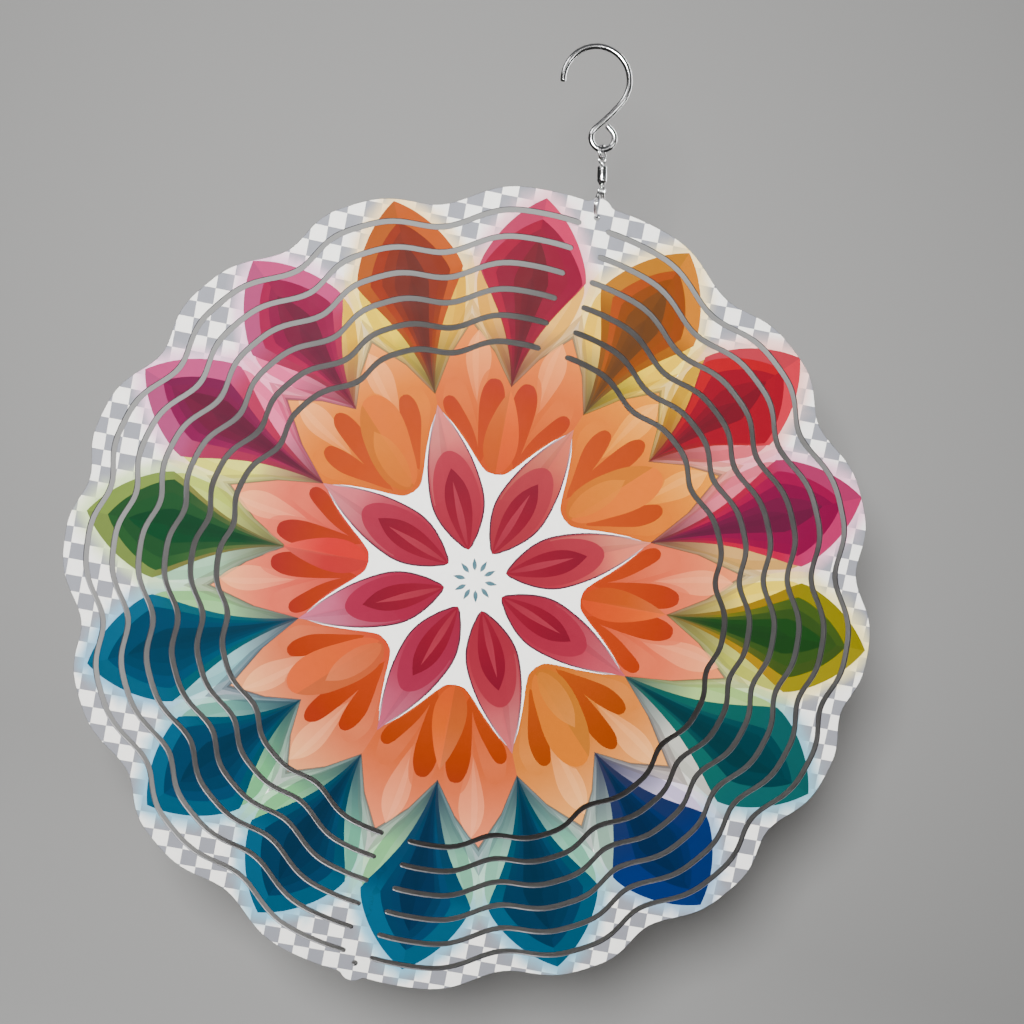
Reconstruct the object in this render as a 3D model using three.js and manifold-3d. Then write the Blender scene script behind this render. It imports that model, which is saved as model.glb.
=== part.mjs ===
// A hanging wind spinner: a printed aluminium sheet cut into seven concentric scalloped bands,
// which twist about one upright axis, hung by a swivel and two split rings from a wire hook.
// Millimetres, +Z up, the printed front faces -Y. The origin is the inside top of the hook's bowl.

import * as THREE from "three";
import { mergeVertices } from "three/addons/utils/BufferGeometryUtils.js";
import Module from "manifold-3d";

const wasm = await Module();
wasm.setup();

// ---- Sheet ----
const BLANK_RADIUS = 127; // mean radius of the scalloped outline of a 10 inch blank
const SHEET = 1.0; // thickness
const BAND_PITCH = 8; // from one slot's centre line to the next
const SLOT_COUNT = 6;
const SLOT_WIDTH = 1.7;
const OUTER_SLOT_RADIUS = 120; // mean radius of the outermost slot
const TIE_HALF_WIDTH = 4.1; // the ties that join two bands are left between the slots' ends
const NODE_GAP = 0.3; // left where a tie meets its two bands
const TAB_RADIUS = 4.6; // round ear at the top and bottom of the rim
const TAB_TIP = 132; // from the disc's centre to the ear's tip
const TAB_HOLE_RADIUS = 0.95;
const TAB_HOLE_HEIGHT = 126; // from the disc's centre to the hole
const HOLE_SIDES = 20;
const EAR_STEPS = 5; // outline points on each half of an ear
const WELD = 1e-4; // points closer than this are one

// Scallops of one quarter, from the upright axis (0 degrees) to the level one (90), as the share
// of the mean radius at each crest and valley. The four quarters mirror each other.
const SCALLOP = [
  { degrees: 0, share: 1.0235 },
  { degrees: 8, share: 1.026 },
  { degrees: 22.4, share: 0.976 },
  { degrees: 34.8, share: 1.014 },
  { degrees: 45.7, share: 0.971 },
  { degrees: 58.6, share: 1.0135 },
  { degrees: 69.1, share: 0.974 },
  { degrees: 80.8, share: 1.0195 },
  { degrees: 90, share: 0.99 },
];
const VALLEY_SHARPNESS = 1.86; // above 1, crests are broad and valleys narrow
const STEPS_PER_SPAN = 5; // outline points between a crest and the next valley

// ---- Hook and links, in the hanging plane, measured from the lowest point of the hook's eye ----
const CHAIN_LEAN = 17; // degrees that the hook and swivel lean to the left of the disc's axis
const HOOK_WIRE = 1.7; // diameter
const BOWL_RADIUS = 10.3; // of the wire's centre line
const BOWL_CENTRE = new THREE.Vector2(-2.4, 21);
const BOWL_TIP_ANGLE = 183; // degrees, where the open end of the bowl stops
const BOWL_EXIT_ANGLE = -40; // degrees, where the bowl turns into the shank
const EYE_RADIUS = 3.65; // of the wire's centre line, at the foot of the hook
const SHANK_PULL = 9.5; // how far the shank runs on before it curves, at its top
const EYE_PULL = 3.2; // and at the eye
const TAIL_PULL = 1.6; // the same for the wire's end, on the eye's other side
const HOOK_TAIL = new THREE.Vector2(1.15, 7.35); // where the wire's end tucks against the shank
const HOOK_STEPS = 64;
const HOOK_SIDES = 10;

const SPLIT_WIRE = 0.5; // diameter
const SPLIT_PITCH = 0.56; // between the two turns of a split ring
const SPLIT_JOG = 22; // degrees over which the wire steps from one turn to the next
const SPLIT_STEPS = 46;
const UPPER_RING_RADIUS = 2.1; // centre line
const LOWER_RING_RADIUS = 4.02;
const UPPER_RING_TURN = 30; // degrees that each ring is turned from edge-on to the front
const LOWER_RING_TURN = 21;
const LOWER_RING_LEAN = 7.7; // degrees to the left of the disc's axis
const TAB_HOLE_SEAT = 0.16; // how far above the ear hole's centre the ring's two turns rest
const HOOK_PLAY = 0.18; // clearance between the upper ring and the hook that it hangs from
const LINK_PLAY = 0.06; // clearance where one link rests on another

const SWIVEL_EYE_WIRE = 0.55;
const SWIVEL_EYE_RADIUS = 1.05; // centre line
const STEM_RADIUS = 0.38;
const STEM_HEAD_RADIUS = 0.78;
const STEM_HEAD_HEIGHT = 0.45;
const BARREL_TOP = -5.1;
const BARREL_LENGTH = 5.6;
const BARREL_RADIUS = 1.45;
const BARREL_BORE = 1.15;
const BARREL_WALL = 0.45; // at the two ends
const BARREL_MOUTH = 0.52; // radius of the holes that the stems pass through
const BARREL_TAPER = 1.1; // height of the narrowed foot
const BARREL_FOOT_RADIUS = 0.85;
const BARREL_CHAMFER = 0.3;
const BARREL_SIDES = 20;
const BALL_RADIUS = 0.25;
const BALL_COUNT = 6;
const BALL_CIRCLE = 0.765;
const BALL_MERIDIANS = 8;
const BALL_PARALLELS = 6;
const BEARING_PLAY = 0.05;
const LOWER_EYE_CENTRE = -12.52;
const WIRE_SIDES = 8;
const EYE_STEPS = 20;
const STEM_SIDES = 12;

const TURN = 360; // degrees
const INK = { red: 0xd9405a, orange: 0xf08a4b, teal: 0x1f7f96, cream: 0xf3e6d6 };

function radians(degrees) {
  return THREE.MathUtils.degToRad(degrees);
}

// ---- Materials ----

function printedAluminium(colour) {
  return new THREE.MeshStandardMaterial({ color: colour, roughness: 0.35, metalness: 0.1 });
}

function polishedSteel() {
  return new THREE.MeshStandardMaterial({ color: 0xcfd2d4, roughness: 0.18, metalness: 1 });
}

// ---- The scalloped outline ----

// Share of the mean radius at an angle from the upright axis.
function scallopShare(degrees) {
  const turned = Math.abs(degrees % 180);
  const folded = turned > 90 ? 180 - turned : turned;
  const next = Math.max(1, SCALLOP.findIndex((station) => station.degrees >= folded));
  const a = SCALLOP[next - 1];
  const b = SCALLOP[next];
  const [crest, valley] = a.share > b.share ? [a, b] : [b, a];
  const way = Math.abs(folded - crest.degrees) / Math.abs(valley.degrees - crest.degrees);
  const depth = Math.pow((1 - Math.cos(Math.PI * way)) / 2, VALLEY_SHARPNESS);
  return crest.share - (crest.share - valley.share) * depth;
}

// Angles round one half of the disc, from 0 to 180 degrees, with the same points in each scallop.
function halfTurnAngles() {
  const quarter = [0];
  for (let i = 1; i < SCALLOP.length; i += 1) {
    const from = SCALLOP[i - 1].degrees;
    const span = SCALLOP[i].degrees - from;
    for (let step = 1; step <= STEPS_PER_SPAN; step += 1) {
      quarter.push(from + (span * step) / STEPS_PER_SPAN);
    }
  }
  const mirrored = quarter.slice(0, -1).reverse().map((angle) => 180 - angle);
  return [...quarter, ...mirrored];
}

function outlinePoint(meanRadius, inset, degrees) {
  const radius = meanRadius * scallopShare(degrees) + inset;
  return new THREE.Vector2(radius * Math.sin(radians(degrees)), radius * Math.cos(radians(degrees)));
}

// A closed scalloped curve; inset moves it out (+) or in (-) from the mean curve.
function scallopedLoop(meanRadius, inset) {
  const right = halfTurnAngles().map((angle) => outlinePoint(meanRadius, inset, angle));
  const left = right.slice(1, -1).reverse().map((p) => new THREE.Vector2(-p.x, p.y));
  return [...right, ...left];
}

// The rim's outer curve, whose points under each ear are replaced by the ear's arc.
function rimLoop() {
  const earCentre = TAB_TIP - TAB_RADIUS;
  const reach = BLANK_RADIUS * scallopShare(0);
  const halfArc = Math.acos((reach - earCentre) / TAB_RADIUS);
  const earHalfWidth = TAB_RADIUS * Math.sin(halfArc);
  const clear = scallopedLoop(BLANK_RADIUS, 0).filter((p) => Math.abs(p.x) > earHalfWidth);
  const ear = [];
  for (let step = -EAR_STEPS; step <= EAR_STEPS; step += 1) {
    const angle = (halfArc * step) / EAR_STEPS;
    ear.push(new THREE.Vector2(TAB_RADIUS * Math.sin(angle), earCentre + TAB_RADIUS * Math.cos(angle)));
  }
  const right = clear.filter((p) => p.x > 0);
  const left = clear.filter((p) => p.x < 0);
  const lowerEar = ear.map((p) => new THREE.Vector2(-p.x, -p.y));
  return [...ear, ...right, ...lowerEar, ...left];
}

// ---- Solids ----

// A flat shape drawn in X and Z, as a sheet centred on Y = 0. The outline is given clockwise, and
// is reversed because ExtrudeGeometry sets the holes' directions only in an anticlockwise shape.
function sheetGeometry(outline, holes) {
  const shape = new THREE.Shape([...outline].reverse());
  shape.holes = holes.map((points) => new THREE.Path(points));
  const geometry = new THREE.ExtrudeGeometry(shape, { depth: SHEET, bevelEnabled: false });
  geometry.translate(0, 0, -SHEET / 2);
  geometry.rotateX(Math.PI / 2);
  return geometry;
}

function circlePoints(radius, sides, height = 0) {
  const points = [];
  for (let i = 0; i < sides; i += 1) {
    const angle = (2 * Math.PI * i) / sides;
    points.push(new THREE.Vector2(radius * Math.cos(angle), height + radius * Math.sin(angle)));
  }
  return points;
}

// A round wire along a curve.
function wireGeometry(curve, diameter, steps, sides) {
  const section = new THREE.Shape(circlePoints(diameter / 2, sides));
  return new THREE.ExtrudeGeometry(section, { extrudePath: curve, steps, bevelEnabled: false });
}

function toSolid(geometry) {
  const bare = geometry.clone();
  bare.deleteAttribute("normal");
  bare.deleteAttribute("uv");
  const merged = mergeVertices(bare, WELD);
  const vertProperties = merged.attributes.position.array;
  const triVerts = new Uint32Array(merged.index.array);
  return new wasm.Manifold(new wasm.Mesh({ numProp: 3, vertProperties, triVerts }));
}

function toGeometry(solid) {
  const mesh = solid.getMesh();
  const geometry = new THREE.BufferGeometry();
  geometry.setAttribute("position", new THREE.BufferAttribute(mesh.vertProperties, 3));
  geometry.setIndex(new THREE.BufferAttribute(mesh.triVerts, 1));
  return geometry;
}

// A cylinder along Z between two heights, given in either order.
function uprightCylinder(radius, from, to, sides) {
  const geometry = new THREE.CylinderGeometry(radius, radius, Math.abs(to - from), sides);
  geometry.rotateX(Math.PI / 2);
  geometry.translate(0, 0, (from + to) / 2);
  return geometry;
}

function part(name, geometry, material) {
  const mesh = new THREE.Mesh(geometry, material);
  mesh.name = name;
  return mesh;
}

// ---- The disc ----

function slotRadius(slot) {
  return OUTER_SLOT_RADIUS - BAND_PITCH * slot;
}

function rimRing() {
  const holes = [
    scallopedLoop(slotRadius(0), SLOT_WIDTH / 2),
    circlePoints(TAB_HOLE_RADIUS, HOLE_SIDES, TAB_HOLE_HEIGHT),
    circlePoints(TAB_HOLE_RADIUS, HOLE_SIDES, -TAB_HOLE_HEIGHT),
  ];
  return part("rim_ring", sheetGeometry(rimLoop(), holes), printedAluminium(INK.cream));
}

function twistRing(number) {
  const outline = scallopedLoop(slotRadius(number - 1), -SLOT_WIDTH / 2);
  const hole = scallopedLoop(slotRadius(number), SLOT_WIDTH / 2);
  const colour = number % 2 ? INK.teal : INK.red;
  return part(`twist_ring_${number}`, sheetGeometry(outline, [hole]), printedAluminium(colour));
}

function centreDisc() {
  const outline = scallopedLoop(slotRadius(SLOT_COUNT - 1), -SLOT_WIDTH / 2);
  return part("centre_disc", sheetGeometry(outline, []), printedAluminium(INK.orange));
}

// The two short necks across one slot, where the sheet twists.
function ties(slot) {
  const height = SLOT_WIDTH - 2 * NODE_GAP;
  const middle = slotRadius(slot) * scallopShare(0);
  return [1, -1].map((side) => {
    const geometry = new THREE.BoxGeometry(2 * TIE_HALF_WIDTH, SHEET, height);
    geometry.translate(0, 0, side * middle);
    const name = `${side > 0 ? "upper" : "lower"}_tie_${slot + 1}`;
    return part(name, geometry, printedAluminium(INK.cream));
  });
}

function disc() {
  const group = new THREE.Group();
  group.add(rimRing(), centreDisc());
  for (let number = 1; number < SLOT_COUNT; number += 1) {
    group.add(twistRing(number));
  }
  for (let slot = 0; slot < SLOT_COUNT; slot += 1) {
    group.add(...ties(slot));
  }
  return group;
}

// ---- The hook ----

// The wire's centre line: bowl, shank and eye in one plane.
function hookCurve() {
  const exit = radians(BOWL_EXIT_ANGLE);
  const outwards = new THREE.Vector2(Math.cos(exit), Math.sin(exit));
  const onwards = new THREE.Vector2(Math.sin(exit), -Math.cos(exit));
  const shankTop = BOWL_CENTRE.clone().addScaledVector(outwards, BOWL_RADIUS);
  const shankPull = shankTop.clone().addScaledVector(onwards, SHANK_PULL);
  const path = new THREE.Path();
  path.absarc(BOWL_CENTRE.x, BOWL_CENTRE.y, BOWL_RADIUS, radians(BOWL_TIP_ANGLE), exit, true);
  path.bezierCurveTo(
    shankPull.x, shankPull.y,
    -EYE_RADIUS, EYE_RADIUS + EYE_PULL,
    -EYE_RADIUS, EYE_RADIUS,
  );
  path.absarc(0, EYE_RADIUS, EYE_RADIUS, Math.PI, 2 * Math.PI, false);
  path.quadraticCurveTo(EYE_RADIUS, EYE_RADIUS + TAIL_PULL, HOOK_TAIL.x, HOOK_TAIL.y);
  const points = path.getSpacedPoints(HOOK_STEPS).map((p) => new THREE.Vector3(p.x, 0, p.y));
  return new THREE.CatmullRomCurve3(points);
}

function hangingHook() {
  const wire = wireGeometry(hookCurve(), HOOK_WIRE, HOOK_STEPS, HOOK_SIDES);
  return part("hanging_hook", wire, polishedSteel());
}

// ---- Split rings ----

// Two flat turns of wire side by side in the XZ plane, joined by one sideways step.
class SplitRingCurve extends THREE.Curve {
  constructor(radius) {
    super();
    this.radius = radius;
  }

  getPoint(t, target = new THREE.Vector3()) {
    const degrees = THREE.MathUtils.lerp(SPLIT_JOG, 2 * TURN - SPLIT_JOG, t);
    const step = THREE.MathUtils.smoothstep(degrees, TURN - SPLIT_JOG, TURN + SPLIT_JOG);
    const x = this.radius * Math.cos(radians(degrees));
    const z = this.radius * Math.sin(radians(degrees));
    return target.set(x, SPLIT_PITCH * (step - 0.5), z);
  }
}

// A split ring hanging from the origin, turned about Z from edge-on to the front.
function splitRing(name, radius, turn) {
  const geometry = wireGeometry(new SplitRingCurve(radius), SPLIT_WIRE, SPLIT_STEPS, WIRE_SIDES);
  geometry.translate(0, 0, -radius);
  geometry.rotateZ(Math.PI / 2 - radians(turn));
  return part(name, geometry, polishedSteel());
}

// How far a split ring's two turns lie from the middle of the round eye that they rest in.
function seatInEye() {
  const free = SWIVEL_EYE_RADIUS - SWIVEL_EYE_WIRE / 2 - LINK_PLAY;
  const halfWidth = (SPLIT_PITCH + SPLIT_WIRE) / 2;
  return Math.sqrt(free * free - halfWidth * halfWidth) - SPLIT_WIRE / 2;
}

// ---- The swivel ----

// A round eye with a headed stem. up is 1 where the eye is above its stem, and -1 below.
function swivelEye(name, centre, headNear, up, turn) {
  const eye = new THREE.TorusGeometry(SWIVEL_EYE_RADIUS, SWIVEL_EYE_WIRE / 2, WIRE_SIDES, EYE_STEPS);
  eye.rotateX(Math.PI / 2);
  eye.translate(0, 0, centre);
  const root = centre - up * SWIVEL_EYE_RADIUS;
  const headFar = headNear - up * STEM_HEAD_HEIGHT;
  const stem = uprightCylinder(STEM_RADIUS, root, headFar, STEM_SIDES);
  const head = uprightCylinder(STEM_HEAD_RADIUS, headNear, headFar, STEM_SIDES);
  const geometry = toGeometry(toSolid(eye).add(toSolid(stem)).add(toSolid(head)));
  geometry.rotateZ(-radians(turn));
  return part(name, geometry, polishedSteel());
}

// The shell that holds both stems' heads, with a tapered foot.
function swivelBarrel() {
  const top = BARREL_TOP;
  const bottom = BARREL_TOP - BARREL_LENGTH;
  const profile = [
    new THREE.Vector2(BARREL_MOUTH, bottom),
    new THREE.Vector2(BARREL_FOOT_RADIUS, bottom),
    new THREE.Vector2(BARREL_RADIUS, bottom + BARREL_TAPER),
    new THREE.Vector2(BARREL_RADIUS, top - BARREL_CHAMFER),
    new THREE.Vector2(BARREL_RADIUS - BARREL_CHAMFER, top),
    new THREE.Vector2(BARREL_MOUTH, top),
    new THREE.Vector2(BARREL_MOUTH, top - BARREL_WALL),
    new THREE.Vector2(BARREL_BORE, top - BARREL_WALL),
    new THREE.Vector2(BARREL_BORE, bottom + BARREL_TAPER),
    new THREE.Vector2(BARREL_MOUTH, bottom + BARREL_TAPER),
    new THREE.Vector2(BARREL_MOUTH, bottom),
  ];
  const geometry = new THREE.LatheGeometry(profile, BARREL_SIDES);
  geometry.rotateX(Math.PI / 2);
  return part("swivel_barrel", geometry, polishedSteel());
}

function bearingBalls(height) {
  const balls = [];
  for (let i = 0; i < BALL_COUNT; i += 1) {
    const sphere = new THREE.SphereGeometry(BALL_RADIUS, BALL_MERIDIANS, BALL_PARALLELS);
    const ball = part(`bearing_ball_${i + 1}`, sphere, polishedSteel());
    const angle = (2 * Math.PI * i) / BALL_COUNT;
    ball.position.set(BALL_CIRCLE * Math.cos(angle), BALL_CIRCLE * Math.sin(angle), height);
    balls.push(ball);
  }
  return balls;
}

function swivel() {
  const group = new THREE.Group();
  const upperRingFoot = HOOK_WIRE / 2 + HOOK_PLAY + SPLIT_WIRE / 2 - 2 * UPPER_RING_RADIUS;
  const upperHead = BARREL_TOP - BARREL_WALL - BEARING_PLAY;
  const ballSeat = BARREL_TOP - BARREL_LENGTH + BARREL_TAPER;
  const ballHeight = ballSeat + BEARING_PLAY + BALL_RADIUS;
  const lowerHead = ballHeight + BALL_RADIUS + BEARING_PLAY;
  group.add(
    swivelEye("swivel_upper_eye", upperRingFoot - seatInEye(), upperHead, 1, UPPER_RING_TURN),
    swivelBarrel(),
    ...bearingBalls(ballHeight),
    swivelEye("swivel_lower_eye", LOWER_EYE_CENTRE, lowerHead, -1, LOWER_RING_TURN),
  );
  return group;
}

// ---- Assembly ----

// A point given in the hook's leaning frame, as X and Z beside the disc's upright axis.
function leaning(across, up) {
  const lean = radians(CHAIN_LEAN);
  const x = across * Math.cos(lean) - up * Math.sin(lean);
  const z = across * Math.sin(lean) + up * Math.cos(lean);
  return new THREE.Vector3(x, 0, z);
}

function windSpinner() {
  const saddle = leaning(BOWL_CENTRE.x, BOWL_CENTRE.y + BOWL_RADIUS - HOOK_WIRE / 2);
  const eyeFoot = saddle.negate();

  const upperRing = splitRing("upper_split_ring", UPPER_RING_RADIUS, UPPER_RING_TURN);
  upperRing.position.z = HOOK_WIRE / 2 + HOOK_PLAY + SPLIT_WIRE / 2;
  const chain = new THREE.Group();
  chain.add(hangingHook(), upperRing, swivel());
  chain.position.copy(eyeFoot);
  chain.rotation.y = -radians(CHAIN_LEAN);

  const lowerRing = splitRing("lower_split_ring", LOWER_RING_RADIUS, LOWER_RING_TURN);
  const ringTop = leaning(0, LOWER_EYE_CENTRE - seatInEye()).add(eyeFoot);
  lowerRing.position.copy(ringTop);
  lowerRing.rotation.y = -radians(LOWER_RING_LEAN);

  const drop = 2 * LOWER_RING_RADIUS + TAB_HOLE_SEAT;
  const ringLean = radians(LOWER_RING_LEAN);
  const plate = disc();
  plate.position.x = ringTop.x + drop * Math.sin(ringLean);
  plate.position.z = ringTop.z - drop * Math.cos(ringLean) - TAB_HOLE_HEIGHT;

  const spinner = new THREE.Group();
  spinner.add(chain, lowerRing, plate);
  return spinner;
}

export default windSpinner();
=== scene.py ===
"""A hanging wind spinner: a printed aluminium sheet cut into scalloped bands that twist about one
upright axis, hung by a swivel and two split rings from a polished wire hook.

The CAD frame gives every place. The sheet is drawn here in its own plane, in millimetres from the
disc's centre, X to the right and Z up, and is set into the frame by to_frame().
"""

import math
from collections import namedtuple
from functools import partial

import bpy
import numpy as np
from mathutils import Matrix, Vector
from mathutils.geometry import delaunay_2d_cdt


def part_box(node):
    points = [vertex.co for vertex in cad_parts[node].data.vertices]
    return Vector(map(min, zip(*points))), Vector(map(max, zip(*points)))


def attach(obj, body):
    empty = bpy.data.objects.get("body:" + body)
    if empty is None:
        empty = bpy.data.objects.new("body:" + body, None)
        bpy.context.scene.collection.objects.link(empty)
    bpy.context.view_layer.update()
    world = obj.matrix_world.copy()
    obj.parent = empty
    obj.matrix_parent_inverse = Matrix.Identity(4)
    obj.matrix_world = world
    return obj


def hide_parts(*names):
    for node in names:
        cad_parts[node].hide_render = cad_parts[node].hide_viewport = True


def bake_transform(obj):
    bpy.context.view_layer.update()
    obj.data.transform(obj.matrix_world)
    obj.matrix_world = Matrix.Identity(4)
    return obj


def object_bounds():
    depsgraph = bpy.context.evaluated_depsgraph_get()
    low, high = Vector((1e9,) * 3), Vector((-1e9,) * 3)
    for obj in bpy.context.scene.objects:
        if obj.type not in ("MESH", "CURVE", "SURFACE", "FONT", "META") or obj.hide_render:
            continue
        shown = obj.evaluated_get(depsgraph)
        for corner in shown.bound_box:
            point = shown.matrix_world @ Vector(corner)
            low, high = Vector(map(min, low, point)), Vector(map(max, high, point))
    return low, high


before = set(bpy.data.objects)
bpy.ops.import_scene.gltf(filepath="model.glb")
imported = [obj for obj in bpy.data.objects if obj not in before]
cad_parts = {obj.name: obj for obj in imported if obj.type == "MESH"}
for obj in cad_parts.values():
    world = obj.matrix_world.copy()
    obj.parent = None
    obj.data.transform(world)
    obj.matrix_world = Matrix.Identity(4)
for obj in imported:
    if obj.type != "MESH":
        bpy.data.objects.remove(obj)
CAD_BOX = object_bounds()

MM = 0.001

# ---- Sheet, in millimetres from the disc's centre ----
BLANK_RADIUS = 127.0  # mean radius of the scalloped outline
SHEET = 1.0  # thickness
BAND_PITCH = 8.0
SLOT_COUNT = 6
SLOT_WIDTH = 1.7
OUTER_SLOT_RADIUS = 120.0
TIE_HALF_WIDTH = 4.1
TAB_RADIUS = 4.6
TAB_TIP = 132.0
TAB_HOLE_RADIUS = 0.95
TAB_HOLE_HEIGHT = 126.0
HOLE_SIDES = 32
EAR_STEPS = 12
CHAMFER = 0.08  # broken edge of the cut sheet
CHAMFER_NONE = 0.002  # where a tie runs into its bands
SLOT_END = TIE_HALF_WIDTH + SLOT_WIDTH / 2  # where a slot's round end begins
STEPS_PER_SPAN = 12
TIE_SIDE = 3.9  # a tie keeps its full thickness nearer the axis than this
TIE_GRID = 0.42  # spacing of the points inside a tie
TIE_GRID_REACH = 3.78
SHEET_GRID = 2.54  # spacing of the points inside a band

STATION_DEGREES = np.array((0, 8, 22.4, 34.8, 45.7, 58.6, 69.1, 80.8, 90))
STATION_SHARES = np.array((1.0235, 1.026, 0.976, 1.014, 0.971, 1.0135, 0.974, 1.0195, 0.99))
VALLEY_SHARPNESS = 1.86

# ---- Hook and links, in millimetres, as the CAD has them ----
CHAIN_LEAN = 17.0
HOOK_WIRE = 1.7
BOWL_RADIUS = 10.3
BOWL_CENTRE = (-2.4, 21.0)
BOWL_TIP_ANGLE = 183.0
BOWL_EXIT_ANGLE = -40.0
EYE_RADIUS = 3.65
SHANK_PULL = 9.5
EYE_PULL = 3.2
TAIL_PULL = 1.6
HOOK_TAIL = (1.15, 7.35)
SPLIT_WIRE = 0.5
SPLIT_PITCH = 0.56
SPLIT_JOG = 22.0
UPPER_RING_RADIUS = 2.1
LOWER_RING_RADIUS = 4.02
UPPER_RING_TURN = 30.0
LOWER_RING_TURN = 21.0
LOWER_RING_LEAN = 7.7
HOOK_PLAY = 0.18
LINK_PLAY = 0.06
SWIVEL_EYE_WIRE = 0.55
SWIVEL_EYE_RADIUS = 1.05
STEM_RADIUS = 0.38
STEM_CORE = 0.02  # a lathe profile stays this far from its axis
STEM_HEAD_RADIUS = 0.78
STEM_HEAD_HEIGHT = 0.45
BARREL_TOP = -5.1
BARREL_LENGTH = 5.6
BARREL_RADIUS = 1.45
BARREL_BORE = 1.15
BARREL_WALL = 0.45
BARREL_MOUTH = 0.52
BARREL_TAPER = 1.1
BARREL_FOOT_RADIUS = 0.85
BALL_RADIUS = 0.25
BEARING_PLAY = 0.05
LOWER_EYE_CENTRE = -12.52
FUSE_VOXEL = 0.05
TURN = 360.0


def middle(node):
    """The middle of a CAD node's box."""
    low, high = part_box(node)
    return (low + high) / 2


DISC = middle("centre_disc")


def smoothstep(x, low, high):
    t = np.clip((np.asarray(x, float) - low) / (high - low), 0, 1)
    return t * t * (3 - 2 * t)


# ---- Colour ----


# In bright light the picture's tone curve dulls a rich colour and pales a strong one. ink() works
# backwards through it: the colours are muted, put through the curve and then enriched.
CURVE_KNEE = 0.008
CURVE_RISE = 0.781
CURVE_BEND = 0.103
MUTE = 0.293
MUTE_WEIGHTS = np.array((0.31, 0.488, 0.202))
ENRICH = 0.537
ENRICH_WEIGHTS = np.array((0.199, 0.505, 0.296))
WHITEST = 0.97


def ink(colour):
    """Linear reflectance of the ink that looks like a 0-255 display colour in bright light."""
    c = np.asarray(colour, float) / 255
    c = np.clip(c - MUTE * (c - (c @ MUTE_WEIGHTS)[..., None]), 0, 1)
    light = CURVE_KNEE * c**CURVE_RISE / (1 + CURVE_KNEE - c**CURVE_BEND)
    return np.clip(light + ENRICH * (light - (light @ ENRICH_WEIGHTS)[..., None]), 0, WHITEST)


# ---- The scalloped sheet ----


def scallop_share(degrees):
    """Share of the mean radius at an angle from the upright axis."""
    folded = np.abs(np.asarray(degrees, float)) % 180
    folded = np.where(folded > 90, 180 - folded, folded)
    after = np.clip(np.searchsorted(STATION_DEGREES, folded), 1, len(STATION_DEGREES) - 1)
    near, far = after - 1, after
    crest_near = STATION_SHARES[near] > STATION_SHARES[far]
    crest = np.where(crest_near, near, far)
    valley = np.where(crest_near, far, near)
    span = np.abs(STATION_DEGREES[valley] - STATION_DEGREES[crest])
    way = np.abs(folded - STATION_DEGREES[crest]) / span
    depth = ((1 - np.cos(np.pi * way)) / 2) ** VALLEY_SHARPNESS
    return STATION_SHARES[crest] - (STATION_SHARES[crest] - STATION_SHARES[valley]) * depth


def quarter_angles():
    parts = [
        np.linspace(a, b, STEPS_PER_SPAN, endpoint=False)
        for a, b in zip(STATION_DEGREES[:-1], STATION_DEGREES[1:])
    ]
    return np.append(np.concatenate(parts), 90.0)


def whole_turn(quarter):
    """A quarter's angles, mirrored right round the disc."""
    half = np.concatenate((quarter, 180 - quarter[-2::-1]))
    return np.concatenate((half, 360 - half[-2:0:-1]))


def chamfer_at(x):
    """The broken edge dies away where a slot ends in a tie."""
    return CHAMFER_NONE + (CHAMFER - CHAMFER_NONE) * smoothstep(np.abs(x), SLOT_END + 0.05, SLOT_END + 0.9)


def ring_points(mean, inset, degrees):
    radius = mean * scallop_share(degrees) + inset
    a = np.radians(degrees)
    return np.stack((radius * np.sin(a), radius * np.cos(a)), axis=1)


def slot_mean(slot):
    return OUTER_SLOT_RADIUS - BAND_PITCH * slot


def slot_end_angle(mean, inset):
    """The angle at which an edge is SLOT_END away from the upright axis."""
    angle = 0.0
    for _ in range(8):
        radius = mean * float(scallop_share(angle)) + inset
        angle = math.degrees(math.asin(SLOT_END / radius))
    return angle


def slot_edge(slot, side):
    """A face's border along a slot: side 1 is the slot's outer edge and -1 its inner edge."""
    mean = slot_mean(slot)
    end = slot_end_angle(mean, side * SLOT_WIDTH / 2)
    degrees = whole_turn(np.unique(np.append(quarter_angles(), end)))
    inset = side * SLOT_WIDTH / 2
    x = ring_points(mean, inset, degrees)[:, 0]
    return ring_points(mean, inset + side * chamfer_at(x), degrees)


def tie_height(slot, side):
    """Height of a slot's edge beside its round end."""
    mean = slot_mean(slot)
    inset = side * SLOT_WIDTH / 2
    end = slot_end_angle(mean, inset)
    return (mean * float(scallop_share(end)) + inset) * math.cos(math.radians(end))


def slot_end_arc(slot, across, up):
    """The round end of a slot, as the border of the tie beside it."""
    high, low = tie_height(slot, 1), tie_height(slot, -1)
    bend = np.radians(np.linspace(-90, 90, 13))
    x = SLOT_END - (SLOT_WIDTH / 2 + CHAMFER) * np.cos(bend)
    z = (high + low) / 2 + (high - low) / 2 * np.sin(bend)
    return np.stack((across * x, up * z), axis=1)


def rim_outline():
    """The rim's outer border with an ear at the top and the bottom, set in by the broken edge."""
    ear_centre = TAB_TIP - TAB_RADIUS
    reach = BLANK_RADIUS * float(scallop_share(0))
    half_arc = math.acos((reach - ear_centre) / TAB_RADIUS)
    ear_half = TAB_RADIUS * math.sin(half_arc)
    loop = ring_points(BLANK_RADIUS, -CHAMFER, whole_turn(quarter_angles()))
    bend = np.linspace(-half_arc, half_arc, 2 * EAR_STEPS + 1)[1:-1]
    radius = TAB_RADIUS - CHAMFER
    ear = np.stack((radius * np.sin(bend), ear_centre + radius * np.cos(bend)), axis=1)
    right = loop[loop[:, 0] > ear_half]
    left = loop[loop[:, 0] < -ear_half]
    return np.concatenate((ear, right, -ear, left))


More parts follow.
